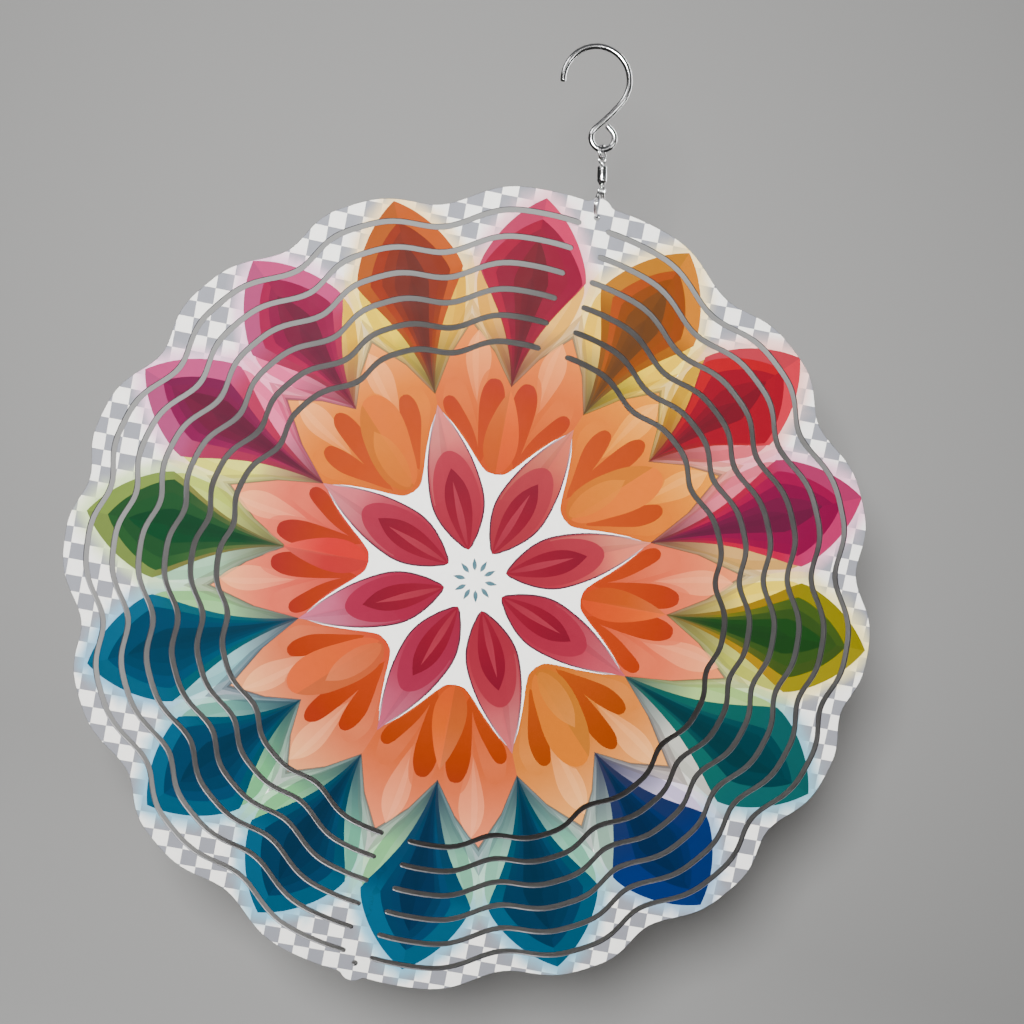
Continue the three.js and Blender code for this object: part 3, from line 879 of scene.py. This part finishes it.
def border(triangles):
    """Directed edges that only one triangle uses."""
    edges = np.concatenate([triangles[:, (i, (i + 1) % 3)] for i in range(3)])
    present = set(map(tuple, edges.tolist()))
    return np.array([e for e in edges.tolist() if (e[1], e[0]) not in present])


def sheet_piece(name, vertices, triangles, colours, chamfer, materials):
    """A piece of the sheet: two printed faces, walls between them and broken edges."""
    used, flat = np.unique(triangles, return_inverse=True)
    flat = flat.reshape(-1, 3)
    points = vertices[used]
    edges = border(flat)
    rim = np.unique(edges)
    place = {int(v): i for i, v in enumerate(rim)}
    outward = np.zeros((len(points), 2))
    along = points[edges[:, 1]] - points[edges[:, 0]]
    along /= np.maximum(np.linalg.norm(along, axis=1), 1e-9)[:, None]
    normal = np.stack((along[:, 1], -along[:, 0]), axis=1)
    np.add.at(outward, edges[:, 0], normal)
    np.add.at(outward, edges[:, 1], normal)
    outward = outward[rim] / np.maximum(np.linalg.norm(outward[rim], axis=1), 1e-9)[:, None]
    depth = chamfer(points[rim])
    wall = points[rim] + outward * depth[:, None]
    count, ring, half = len(points), len(rim), SHEET / 2
    layout = [
        to_frame(points, -half), to_frame(points, half),
        to_frame(wall, depth - half), to_frame(wall, half - depth),
    ]
    front, back = 2 * count, 2 * count + ring
    faces = flat.tolist() + (flat[:, ::-1] + count).tolist()
    for a, b in edges.tolist():
        i, j = place[a], place[b]
        faces.append((a, front + i, front + j, b))
        faces.append((front + i, back + i, back + j, front + j))
        faces.append((back + i, a + count, b + count, back + j))
    made = new_object(name, np.concatenate(layout), faces, materials[0])
    made.data.materials.append(materials[1])
    printed = 2 * len(flat)
    slots = np.zeros(len(faces), np.int32)
    slots[printed:] = 1
    made.data.polygons.foreach_set("material_index", slots)
    tint = np.ones((len(made.data.loops), 4), np.float32)
    tint[: 3 * len(flat), :3] = colours.reshape(-1, 3)
    tint[3 * len(flat) : 3 * printed, :3] = colours[:, ::-1].reshape(-1, 3)
    made.data.attributes.new("ink", "FLOAT_COLOR", "CORNER").data.foreach_set("color", tint.ravel())
    made.data.shade_smooth()
    made.data.set_sharp_from_angle(angle=math.radians(25))
    return made


def draw_print():
    """The flower, from the leaves behind it to the heart on top."""
    draw_leaves()
    draw_chevrons()
    draw_outer_petals()
    draw_middle_petals()
    draw_inner_petals()
    draw_heart()


def sheet_spots(lines):
    """Loose points: a grid in the middle, the middles of the check's lines and a grid in each tie."""
    steps = np.arange(-TAB_TIP, TAB_TIP, SHEET_GRID)
    grid = np.stack(np.meshgrid(steps, steps), axis=-1).reshape(-1, 2)
    spots = [grid[np.linalg.norm(grid, axis=1) < CHECK_FROM]]
    spots.append(np.array([(a + b) / 2 for a, b in lines]))
    across = np.arange(-TIE_GRID_REACH, TIE_GRID_REACH + TIE_GRID / 2, TIE_GRID)
    for slot in range(SLOT_COUNT):
        heights = np.arange(tie_height(slot, -1) + TIE_GRID / 2, tie_height(slot, 1), TIE_GRID)
        x, z = np.meshgrid(across, heights)
        for up in (-1, 1):
            spots.append(np.stack((x.ravel(), up * z.ravel()), axis=1))
    return np.concatenate(spots)


def band_chamfer(points):
    return chamfer_at(points[:, 0])


def rim_chamfer(points):
    """A band's, and a whole one all along the rim's outer border."""
    angle = np.degrees(np.arctan2(points[:, 0], points[:, 1]))
    outside = np.linalg.norm(points, axis=1) > OUTER_SLOT_RADIUS * scallop_share(angle) + 2
    return np.where(outside, CHAMFER, band_chamfer(points))


def tie_chamfer(points, high, low):
    """Whole halfway round a slot's end, and none where the tie runs into its bands."""
    level = (2 * np.abs(points[:, 1]) - high - low) / (high - low)
    bend = np.sqrt(np.clip(1 - level**2, 0, 1))
    return np.maximum(CHAMFER * bend * (np.abs(points[:, 0]) > TIE_SIDE), CHAMFER_NONE)


def build_sheet(materials):
    """Cuts the printed sheet into its bands and ties, and puts each band on its body."""
    draw_print()
    outer_edges = [slot_edge(slot, 1) for slot in range(SLOT_COUNT)]
    inner_edges = [slot_edge(slot, -1) for slot in range(SLOT_COUNT)]
    rim = rim_outline()
    holes = [hole_loop(1), hole_loop(-1)]
    arcs = [slot_end_arc(s, across, up) for s in range(SLOT_COUNT) for across in (-1, 1) for up in (-1, 1)]
    loops = [rim] + holes + outer_edges + inner_edges + [layer["outline"] for layer in layers]
    lines = check_lines()
    vertices, triangles = triangulate(loops, arcs + lines + creases, sheet_spots(lines))
    centres = vertices[triangles].mean(1)
    within = [inside(centres, loop) for loop in outer_edges]
    core = [inside(centres, loop) for loop in inner_edges]
    solid = inside(centres, rim) & ~inside(centres, holes[0]) & ~inside(centres, holes[1])
    colours = np.ones((len(triangles), 3, 3))
    colours[solid] = printed_colours(vertices, triangles[solid])
    bodies = ["rim"] + [f"band_{i}" for i in range(1, SLOT_COUNT)] + ["disc"]
    nodes = ["rim_ring"] + [f"twist_ring_{i}" for i in range(1, SLOT_COUNT)] + ["centre_disc"]

    for number, (body, node) in enumerate(zip(bodies, nodes)):
        mask = solid.copy()
        if number > 0:
            mask &= core[number - 1]
        if number < SLOT_COUNT:
            mask &= ~within[number]
        chamfer = band_chamfer if number else rim_chamfer
        cut = triangles[mask], colours[mask]
        piece = sheet_piece(f"printed_{node}", vertices, *cut, chamfer, materials)
        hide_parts(node)
        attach(piece, body)

    for slot in range(SLOT_COUNT):
        high, low = tie_height(slot, 1), tie_height(slot, -1)
        chamfer = partial(tie_chamfer, high=high, low=low)
        arc = slot_end_arc(slot, 1, 1)
        between = solid & within[slot] & ~core[slot] & (np.abs(centres[:, 0]) < TIE_HALF_WIDTH + SLOT_WIDTH)
        for up, word in ((1, "upper"), (-1, "lower")):
            side = np.interp(centres[:, 1] * up, arc[:, 1], arc[:, 0])
            mask = between & (centres[:, 1] * up > 0) & (np.abs(centres[:, 0]) < side)
            node = f"{word}_tie_{slot + 1}"
            cut = triangles[mask], colours[mask]
            piece = sheet_piece(f"printed_{node}", vertices, *cut, chamfer, materials)
            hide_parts(node)
            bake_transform(piece)


# ---- Materials ----


def blank_material(name):
    material = bpy.data.materials.new(name)
    material.use_nodes = True
    tree = material.node_tree
    return material, tree, tree.nodes["Principled BSDF"]


def noise(tree, scale, detail=4.0, roughness=0.5, squeeze=(1, 1, 1)):
    """A noise in the part's own coordinates, in metres."""
    place = tree.nodes.new("ShaderNodeTexCoord")
    mapping = tree.nodes.new("ShaderNodeMapping")
    mapping.inputs["Scale"].default_value = squeeze
    tree.links.new(place.outputs["Object"], mapping.inputs["Vector"])
    node = tree.nodes.new("ShaderNodeTexNoise")
    node.inputs["Scale"].default_value = scale
    node.inputs["Detail"].default_value = detail
    node.inputs["Roughness"].default_value = roughness
    tree.links.new(mapping.outputs["Vector"], node.inputs["Vector"])
    return node.outputs["Fac"]


def ranged(tree, value, low, high):
    """Maps a 0-1 value to a range."""
    node = tree.nodes.new("ShaderNodeMapRange")
    node.inputs["To Min"].default_value = low
    node.inputs["To Max"].default_value = high
    tree.links.new(value, node.inputs["Value"])
    return node.outputs["Result"]


def bump(tree, value, shader, distance, strength=1.0):
    node = tree.nodes.new("ShaderNodeBump")
    node.inputs["Distance"].default_value = distance
    node.inputs["Strength"].default_value = strength
    tree.links.new(value, node.inputs["Height"])
    tree.links.new(node.outputs["Normal"], shader.inputs["Normal"])


def printed_material():
    """Ink heat-pressed into coated aluminium: matt colour with a faint brushed unevenness."""
    material, tree, shader = blank_material("printed_aluminium")
    colour = tree.nodes.new("ShaderNodeVertexColor")
    colour.layer_name = "ink"
    grain = ranged(tree, noise(tree, 420, 6, 0.6), 0.94, 1.06)
    mix = tree.nodes.new("ShaderNodeVectorMath")
    mix.operation = "SCALE"
    tree.links.new(colour.outputs["Color"], mix.inputs[0])
    tree.links.new(grain, mix.inputs["Scale"])
    tree.links.new(mix.outputs["Vector"], shader.inputs["Base Color"])
    tree.links.new(ranged(tree, noise(tree, 160), 0.46, 0.6), shader.inputs["Roughness"])
    shader.inputs["Specular IOR Level"].default_value = 0.05
    bump(tree, noise(tree, 1500, 3), shader, 0.00002)
    return material


def cut_edge_painted_shade_material():
    """Cut aluminium with fine marks across its thickness. Its dark tone is partly a dull cut edge
    and partly painted shade that keeps the walls inside the slots dark.
    """
    material, tree, shader = blank_material("cut_aluminium_painted_shade")
    shader.inputs["Metallic"].default_value = 1.0
    marks = noise(tree, 900, 3, 0.6, (1, 0.12, 1))
    tone = tree.nodes.new("ShaderNodeValToRGB")
    # Painted shade: these tones sit well below bare aluminium so that the slot walls read as shaded.
    tone.color_ramp.elements[0].color = (0.11, 0.11, 0.115, 1)
    tone.color_ramp.elements[1].color = (0.26, 0.26, 0.27, 1)
    tree.links.new(marks, tone.inputs["Fac"])
    tree.links.new(tone.outputs["Color"], shader.inputs["Base Color"])
    tree.links.new(ranged(tree, marks, 0.42, 0.6), shader.inputs["Roughness"])
    bump(tree, marks, shader, 0.00003)
    return material


def steel_material():
    """Bright drawn and polished wire with faint scuffs."""
    material, tree, shader = blank_material("polished_steel")
    shader.inputs["Metallic"].default_value = 1.0
    scuff = noise(tree, 700, 5, 0.65)
    tone = tree.nodes.new("ShaderNodeValToRGB")
    tone.color_ramp.elements[0].position = 0.3
    tone.color_ramp.elements[0].color = (0.52, 0.51, 0.5, 1)
    tone.color_ramp.elements[1].position = 0.62
    tone.color_ramp.elements[1].color = (0.86, 0.86, 0.87, 1)
    tree.links.new(scuff, tone.inputs["Fac"])
    tree.links.new(tone.outputs["Color"], shader.inputs["Base Color"])
    tree.links.new(ranged(tree, noise(tree, 2600, 3), 0.1, 0.24), shader.inputs["Roughness"])
    bump(tree, noise(tree, 1800, 2), shader, 0.00001)
    return material


# ---- Hook, rings and swivel ----


def bezier(a, b, c, d, steps):
    t = np.linspace(0, 1, steps)[:, None]
    a, b, c, d = (np.asarray(p, float) for p in (a, b, c, d))
    return (1 - t) ** 3 * a + 3 * (1 - t) ** 2 * t * b + 3 * (1 - t) * t**2 * c + t**3 * d


def arc(centre, radius, start, end, steps):
    a = np.radians(np.linspace(start, end, steps))
    return np.stack((centre[0] + radius * np.cos(a), centre[1] + radius * np.sin(a)), axis=1)


def hook_path():
    """The hook's centre line from the tip of the bowl to the tucked end of the eye."""
    exit_angle = math.radians(BOWL_EXIT_ANGLE)
    bowl = arc(BOWL_CENTRE, BOWL_RADIUS, BOWL_TIP_ANGLE, BOWL_EXIT_ANGLE, 72)
    top = bowl[-1]
    pull = top + SHANK_PULL * np.array((math.sin(exit_angle), -math.cos(exit_angle)))
    left = (-EYE_RADIUS, EYE_RADIUS)
    shank = bezier(top, pull, (-EYE_RADIUS, EYE_RADIUS + EYE_PULL), left, 56)
    eye = arc((0, EYE_RADIUS), EYE_RADIUS, 180, 360, 40)
    right = np.array((EYE_RADIUS, EYE_RADIUS))
    bend = np.array((EYE_RADIUS, EYE_RADIUS + TAIL_PULL))
    tail = np.array(HOOK_TAIL)
    end = bezier(right, right + (bend - right) * 2 / 3, tail + (bend - tail) * 2 / 3, tail, 16)
    flat = np.concatenate((bowl, shank[1:], eye[1:], end[1:]))
    return np.stack((flat[:, 0], np.zeros(len(flat)), flat[:, 1]), axis=1)


def split_path(radius):
    """Two flat turns joined by one sideways step, hanging from the origin."""
    degrees = np.linspace(SPLIT_JOG, 2 * TURN - SPLIT_JOG, 260)
    step = smoothstep(degrees, TURN - SPLIT_JOG, TURN + SPLIT_JOG)
    a = np.radians(degrees)
    return np.stack((radius * np.cos(a), SPLIT_PITCH * (step - 0.5), radius * (np.sin(a) - 1)), axis=1)


def rounded_ends(points, ahead, radius, depth):
    """Rows of centre, direction and radius that round a wire's first and last end over."""
    bend = np.radians((0, 30, 60, 80))
    lifts = depth * np.sin(bend)
    widths = radius - depth * (1 - np.cos(bend))
    first = [(points[0] + ahead[0] * (depth - up), ahead[0], width) for up, width in zip(lifts, widths)]
    last = [(points[-1] - ahead[-1] * (depth - up), ahead[-1], width) for up, width in zip(lifts, widths)]
    return first[::-1], last


def wrapped_faces(rows, columns, closed):
    """Quads between the neighbouring rows of a grid whose columns close into a ring."""
    faces = []
    for row in range(rows if closed else rows - 1):
        near = row * columns
        far = (row + 1) % rows * columns
        for k in range(columns):
            following = (k + 1) % columns
            faces.append((near + k, near + following, far + following, far + k))
    return faces


def tube(points, radius, sides, closed=False, round_end=0.3):
    """Vertices and faces of a round wire along points. Its ends are rounded over by round_end
    times its radius."""
    points = np.asarray(points, float)
    ahead = np.roll(points, -1, axis=0) - np.roll(points, 1, axis=0)
    if not closed:
        ahead[0] = points[1] - points[0]
        ahead[-1] = points[-1] - points[-2]
    ahead /= np.linalg.norm(ahead, axis=1)[:, None]
    rows = [(point, way, radius) for point, way in zip(points, ahead)]
    if not closed:
        depth = round_end * radius
        first, last = rounded_ends(points, ahead, radius, depth)
        ends = points[[0, -1]]
        clear = [row for row in rows[1:-1] if np.linalg.norm(ends - row[0], axis=1).min() > depth]
        rows = first + clear + last
    side = np.cross(ahead[0], (0.3, 1.0, 0.2))
    turn = np.arange(sides) * 2 * np.pi / sides
    rings = []
    for point, way, width in rows:
        side = side - way * (side @ way)
        side /= np.linalg.norm(side)
        other = np.cross(way, side)
        rings.append(point + width * (np.outer(np.cos(turn), side) + np.outer(np.sin(turn), other)))
    count = len(rings)
    faces = wrapped_faces(count, sides, closed)
    if not closed:
        faces.append(tuple(range(sides))[::-1])
        faces.append(tuple(range((count - 1) * sides, count * sides)))
    return np.concatenate(rings), faces


def lathe(profile, sides):
    """A closed profile of radius and height, turned about Z. The profile's points go anticlockwise."""
    turn = np.arange(sides) * 2 * np.pi / sides
    vertices = [(r * math.cos(a), r * math.sin(a), z) for a in turn for r, z in profile]
    faces = [(a, d, c, b) for a, b, c, d in wrapped_faces(sides, len(profile), True)]
    return np.array(vertices), faces


def rounded(profile, steps=5):
    """A closed profile of (radius, height, corner radius) with its corners rounded."""
    rows = []
    count = len(profile)
    for i, (r, z, bend) in enumerate(profile):
        here = np.array((r, z))
        if not bend:
            rows.append(here)
            continue
        before = np.array(profile[i - 1][:2]) - here
        after = np.array(profile[(i + 1) % count][:2]) - here
        a = here + before / np.linalg.norm(before) * bend
        b = here + after / np.linalg.norm(after) * bend
        for t in np.linspace(0, 1, steps):
            rows.append((1 - t) ** 2 * a + 2 * t * (1 - t) * here + t * t * b)
    return rows


def hung(vertices, lean, place):
    """Turns millimetre vertices about Y by a lean to the left, and sets them at a place, in metres."""
    turn = Matrix.Rotation(-math.radians(lean), 4, "Y")
    return [tuple((turn @ Vector(v) + place) * MM) for v in vertices]


def turned(vertices, degrees):
    """Turns vertices about Z."""
    x, y, z = np.asarray(vertices).T
    a = math.radians(degrees)
    return np.stack((x * math.cos(a) - y * math.sin(a), x * math.sin(a) + y * math.cos(a), z), axis=1)


def smooth_object(name, vertices, faces, material, sharp=40):
    made = new_object(name, vertices, faces, material)
    made.data.shade_smooth()
    made.data.set_sharp_from_angle(angle=math.radians(sharp))
    return made


def fused(name, parts, material, voxel):
    """Several closed meshes melted into one, as a cast or soldered joint is."""
    vertices, faces = [], []
    for part_vertices, part_faces in parts:
        start = len(vertices)
        vertices.extend(part_vertices)
        faces.extend(tuple(i + start for i in face) for face in part_faces)
    made = new_object(name, vertices, faces, material)
    remesh = made.modifiers.new("remesh", "REMESH")
    remesh.mode = "VOXEL"
    remesh.voxel_size = voxel
    smooth = made.modifiers.new("smooth", "SMOOTH")
    smooth.factor = 0.5
    smooth.iterations = 4
    depsgraph = bpy.context.evaluated_depsgraph_get()
    result = bpy.data.meshes.new_from_object(made.evaluated_get(depsgraph))
    made.modifiers.clear()
    made.data = result
    made.data.shade_smooth()
    return made


def seat_in_eye():
    free = SWIVEL_EYE_RADIUS - SWIVEL_EYE_WIRE / 2 - LINK_PLAY
    half = (SPLIT_PITCH + SPLIT_WIRE) / 2
    return math.sqrt(free * free - half * half) - SPLIT_WIRE / 2


def leaning(across, up):
    a = math.radians(CHAIN_LEAN)
    return Vector((across * math.cos(a) - up * math.sin(a), 0, across * math.sin(a) + up * math.cos(a)))


def torus(radius, wire, sides=40, ring=20):
    a = np.arange(sides) * 2 * np.pi / sides
    path = np.stack((radius * np.cos(a), np.zeros(sides), radius * np.sin(a)), axis=1)
    return tube(path, wire / 2, ring, closed=True)


def stem(root, head_near, up):
    """The neck and head of a swivel's eye, flared where it joins the eye."""
    far = head_near - up * STEM_HEAD_HEIGHT
    profile = [(STEM_CORE, root + up * 0.3), (0.5, root + up * 0.22), (0.48, root - up * 0.1)]
    profile += [(STEM_RADIUS, root - up * 0.45), (STEM_RADIUS, head_near)]
    profile += [(STEM_HEAD_RADIUS, head_near - up * 0.02), (STEM_HEAD_RADIUS, far + up * 0.06)]
    profile += [(STEM_HEAD_RADIUS - 0.08, far), (STEM_CORE, far)]
    return lathe(profile if up < 0 else profile[::-1], 28)


def swivel_eye(name, centre, head_near, up, turn, foot, steel):
    """A swivel's eye, stem and head: up is 1 for the upper one and -1 for the lower one."""
    ring_vertices, ring_faces = torus(SWIVEL_EYE_RADIUS, SWIVEL_EYE_WIRE)
    ring_vertices = ring_vertices + np.array((0, 0, centre))
    stem_vertices, stem_faces = stem(centre - up * SWIVEL_EYE_RADIUS, head_near, up)
    parts = []
    for vertices, faces in ((ring_vertices, ring_faces), (stem_vertices, stem_faces)):
        parts.append((hung(turned(vertices, -turn), CHAIN_LEAN, foot), faces))
    return fused(name, parts, steel, FUSE_VOXEL * MM)


def put(piece, node, body):
    """Sets a steel piece in place of its CAD node, on its body."""
    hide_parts(node)
    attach(piece, body)


def barrel_profile():
    """The shell: a crimped lip, two shallow grooves, a tapered foot and the bore inside."""
    top, bottom = BARREL_TOP, BARREL_TOP - BARREL_LENGTH
    outer = BARREL_RADIUS
    return rounded(
        [
            (BARREL_MOUTH, bottom, 0.08),
            (BARREL_FOOT_RADIUS, bottom, 0.16),
            (BARREL_FOOT_RADIUS + 0.04, bottom + 0.35, 0.1),
            (outer, bottom + BARREL_TAPER + 0.05, 0.3),
            (outer, bottom + 1.75, 0.05),
            (outer - 0.12, bottom + 1.85, 0.04),
            (outer - 0.12, bottom + 1.98, 0.04),
            (outer, bottom + 2.08, 0.05),
            (outer, top - 1.05, 0.05),
            (outer - 0.12, top - 0.96, 0.04),
            (outer - 0.12, top - 0.84, 0.04),
            (outer, top - 0.75, 0.05),
            (outer, top, 0.42),
            (BARREL_MOUTH, top, 0.1),
            (BARREL_MOUTH, top - BARREL_WALL, 0),
            (BARREL_BORE, top - BARREL_WALL, 0),
            (BARREL_BORE, bottom + BARREL_TAPER, 0),
            (BARREL_MOUTH, bottom + BARREL_TAPER, 0),
        ]
    )


def build_chain(steel):
    saddle = leaning(BOWL_CENTRE[0], BOWL_CENTRE[1] + BOWL_RADIUS - HOOK_WIRE / 2)
    foot = -saddle
    vertices, faces = tube(hook_path(), HOOK_WIRE / 2, 28, round_end=0.45)
    piece = smooth_object("wire_hook", hung(vertices, CHAIN_LEAN, foot), faces, steel)
    put(piece, "hanging_hook", "hook")

    ring_top = HOOK_WIRE / 2 + HOOK_PLAY + SPLIT_WIRE / 2
    vertices, faces = tube(split_path(UPPER_RING_RADIUS), SPLIT_WIRE / 2, 16)
    ring = turned(vertices, 90 - UPPER_RING_TURN) + np.array((0, 0, ring_top))
    piece = smooth_object("upper_ring_wire", hung(ring, CHAIN_LEAN, foot), faces, steel)
    put(piece, "upper_split_ring", "upper_ring")

    eye_centre = ring_top - 2 * UPPER_RING_RADIUS - seat_in_eye()
    upper_head = BARREL_TOP - BARREL_WALL - BEARING_PLAY
    ball_height = BARREL_TOP - BARREL_LENGTH + BARREL_TAPER + BEARING_PLAY + BALL_RADIUS
    lower_head = ball_height + BALL_RADIUS + BEARING_PLAY
    piece = swivel_eye("swivel_eye_top", eye_centre, upper_head, 1, UPPER_RING_TURN, foot, steel)
    put(piece, "swivel_upper_eye", "swivel_top")
    piece = swivel_eye("swivel_eye_foot", LOWER_EYE_CENTRE, lower_head, -1, LOWER_RING_TURN, foot, steel)
    put(piece, "swivel_lower_eye", "swivel_foot")
    vertices, faces = lathe(barrel_profile(), 48)
    piece = smooth_object("swivel_shell_turned", hung(vertices, CHAIN_LEAN, foot), faces, steel, 50)
    put(piece, "swivel_barrel", "swivel_shell")

    ring_place = leaning(0, LOWER_EYE_CENTRE - seat_in_eye()) + foot
    vertices, faces = tube(split_path(LOWER_RING_RADIUS), SPLIT_WIRE / 2, 16)
    ring = turned(vertices, 90 - LOWER_RING_TURN)
    piece = smooth_object("lower_ring_wire", hung(ring, LOWER_RING_LEAN, ring_place), faces, steel)
    put(piece, "lower_split_ring", "lower_ring")

    for node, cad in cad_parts.items():
        if node.startswith("bearing_ball"):
            cad.data.materials.clear()
            cad.data.materials.append(steel)


# ---- Camera, floor and light ----

LENS = 49.2
CAMERA = Vector((-0.0145, -0.4423, -0.1104))
CAMERA_AHEAD = Vector((0.076, 0.994, -0.077))
CAMERA_UP = Vector((-0.303, 0.096, 0.948))


def build_camera():
    data = bpy.data.cameras.new("camera")
    data.lens = LENS
    data.sensor_width = 36
    data.clip_start = 0.01
    camera = bpy.data.objects.new("camera", data)
    back = -CAMERA_AHEAD.normalized()
    right = CAMERA_UP.cross(back).normalized()
    up = back.cross(right)
    camera.matrix_world = Matrix.Translation(CAMERA) @ Matrix((right, up, back)).transposed().to_4x4()
    bpy.context.scene.collection.objects.link(camera)
    bpy.context.scene.camera = camera


FLOOR_DROP = 0.2  # below the object
BACKDROP_LIFT = 0.0005  # the backdrop and the surround start just above the floor
SURROUND_LIFT = 0.0004
WALL_GAP = 0.28  # the sheet swings out to 0.24 behind its own plane
WALL_TOP = 2.5
FILLET = 0.16
FILLET_STEPS = 17
SURROUND_RADIUS = 1.6
SURROUND_SIDES = 64
SURROUND_GLOW = 1.1
STAGE_REACH = 3.0
PALE = (0.42, 0.418, 0.41, 1)


def matt_material(name):
    material, tree, shader = blank_material(name)
    shader.inputs["Base Color"].default_value = PALE
    shader.inputs["Roughness"].default_value = 0.9
    shader.inputs["Specular IOR Level"].default_value = 0.1
    return material, tree, shader


def one_sided(tree, shader):
    """Nothing shows where the surface is seen from behind."""
    side = tree.nodes.new("ShaderNodeNewGeometry")
    clear = tree.nodes.new("ShaderNodeBsdfTransparent")
    mix = tree.nodes.new("ShaderNodeMixShader")
    tree.links.new(side.outputs["Backfacing"], mix.inputs["Fac"])
    tree.links.new(shader.outputs["BSDF"], mix.inputs[1])
    tree.links.new(clear.outputs["BSDF"], mix.inputs[2])
    tree.links.new(mix.outputs["Shader"], tree.nodes["Material Output"].inputs["Surface"])


def unlit_by(made):
    """The object is seen, and neither shades nor lights anything else."""
    made.visible_shadow = False
    made.visible_diffuse = False
    made.visible_glossy = False


def cove(wall, level):
    """Rows of distance and height: out over the floor, up a fillet and up the wall."""
    bend = np.radians(np.linspace(0, 90, FILLET_STEPS))
    rows = [(wall - FILLET + FILLET * math.sin(a), level + FILLET * (1 - math.cos(a))) for a in bend]
    return rows + [(wall, WALL_TOP)]


def build_floor(level):
    corners = ((-1, -1), (1, -1), (1, 1), (-1, 1))
    vertices = [(x * STAGE_REACH, y * STAGE_REACH, level) for x, y in corners]
    floor = new_object("floor", vertices, [(0, 1, 2, 3)], matt_material("pale_floor")[0])
    floor.visible_glossy = False
    floor.visible_diffuse = False
    return floor


def build_backdrop(level):
    """A wall behind the object, seen from the front only."""
    material, tree, shader = matt_material("pale_backdrop")
    one_sided(tree, shader)
    section = cove(WALL_GAP, level + BACKDROP_LIFT)
    vertices = [(x, y, z) for x in (-STAGE_REACH, STAGE_REACH) for y, z in section]
    count = len(section)
    faces = [(i, i + count, i + count + 1, i + 1) for i in range(count - 1)]
    return new_object("backdrop", vertices, faces, material)


def build_surround(level):
    """A round wall that stands behind the object in the other views, seen from inside only."""
    material, tree, shader = matt_material("pale_surround")
    shader.inputs["Emission Color"].default_value = PALE
    shader.inputs["Emission Strength"].default_value = SURROUND_GLOW
    one_sided(tree, shader)
    section = cove(SURROUND_RADIUS, level + SURROUND_LIFT)
    turn = [math.tau * i / SURROUND_SIDES for i in range(SURROUND_SIDES)]
    vertices = [(r * math.cos(a), r * math.sin(a), z) for a in turn for r, z in section]
    count = len(section)
    faces = []
    for i in range(SURROUND_SIDES):
        near = i * count
        far = (i + 1) % SURROUND_SIDES * count
        faces += [(near + k, near + k + 1, far + k + 1, far + k) for k in range(count - 1)]
    return new_object("surround", vertices, faces, material)


def build_stage():
    level = CAD_BOX[0].z - FLOOR_DROP
    floor = build_floor(level)
    backdrop = build_backdrop(level)
    surround = build_surround(level)
    for made in (backdrop, surround):
        made.data.shade_smooth()
        unlit_by(made)


def area_light(name, place, size, power, diffuse=True):
    data = bpy.data.lights.new(name, "AREA")
    data.shape = "DISK"
    data.size = size
    data.energy = power
    made = bpy.data.objects.new(name, data)
    made.location = DISC + Vector(place)
    made.rotation_mode = "QUATERNION"
    made.rotation_quaternion = (-Vector(place)).to_track_quat("-Z", "Y")
    made.visible_diffuse = diffuse
    made.visible_camera = False
    bpy.context.scene.collection.objects.link(made)


def build_light():
    """A soft key just up and left of the camera, a back light, and reflectors for the steel."""
    world = bpy.data.worlds.new("studio")
    world.use_nodes = True
    bpy.context.scene.world = world
    tree = world.node_tree
    place = tree.nodes.new("ShaderNodeTexCoord")
    split = tree.nodes.new("ShaderNodeSeparateXYZ")
    ramp = tree.nodes.new("ShaderNodeValToRGB")
    level = tree.nodes.new("ShaderNodeMapRange")
    level.inputs["From Min"].default_value = -1.0
    tree.links.new(place.outputs["Generated"], split.inputs["Vector"])
    tree.links.new(split.outputs["Z"], level.inputs["Value"])
    tree.links.new(level.outputs["Result"], ramp.inputs["Fac"])
    ramp.color_ramp.elements[0].color = (0.02, 0.02, 0.02, 1)
    ramp.color_ramp.elements[1].color = (0.13, 0.135, 0.14, 1)
    horizon = ramp.color_ramp.elements.new(0.5)
    horizon.color = (0.03, 0.03, 0.03, 1)
    tree.links.new(ramp.outputs["Color"], tree.nodes["Background"].inputs["Color"])
    area_light("key", (-0.084, -0.54, 0.1215), 0.09, 8.4)
    area_light("back", (0.5, 1.25, 0.6), 0.8, 20)
    area_light("reflector_left", (-1.0, -0.7, 0.6), 0.5, 5, diffuse=False)
    area_light("reflector_right", (0.9, -1.0, 0.1), 0.35, 3, diffuse=False)


sheet_materials = (printed_material(), cut_edge_painted_shade_material())
build_sheet(sheet_materials)
build_chain(steel_material())
build_camera()
build_stage()
build_light()
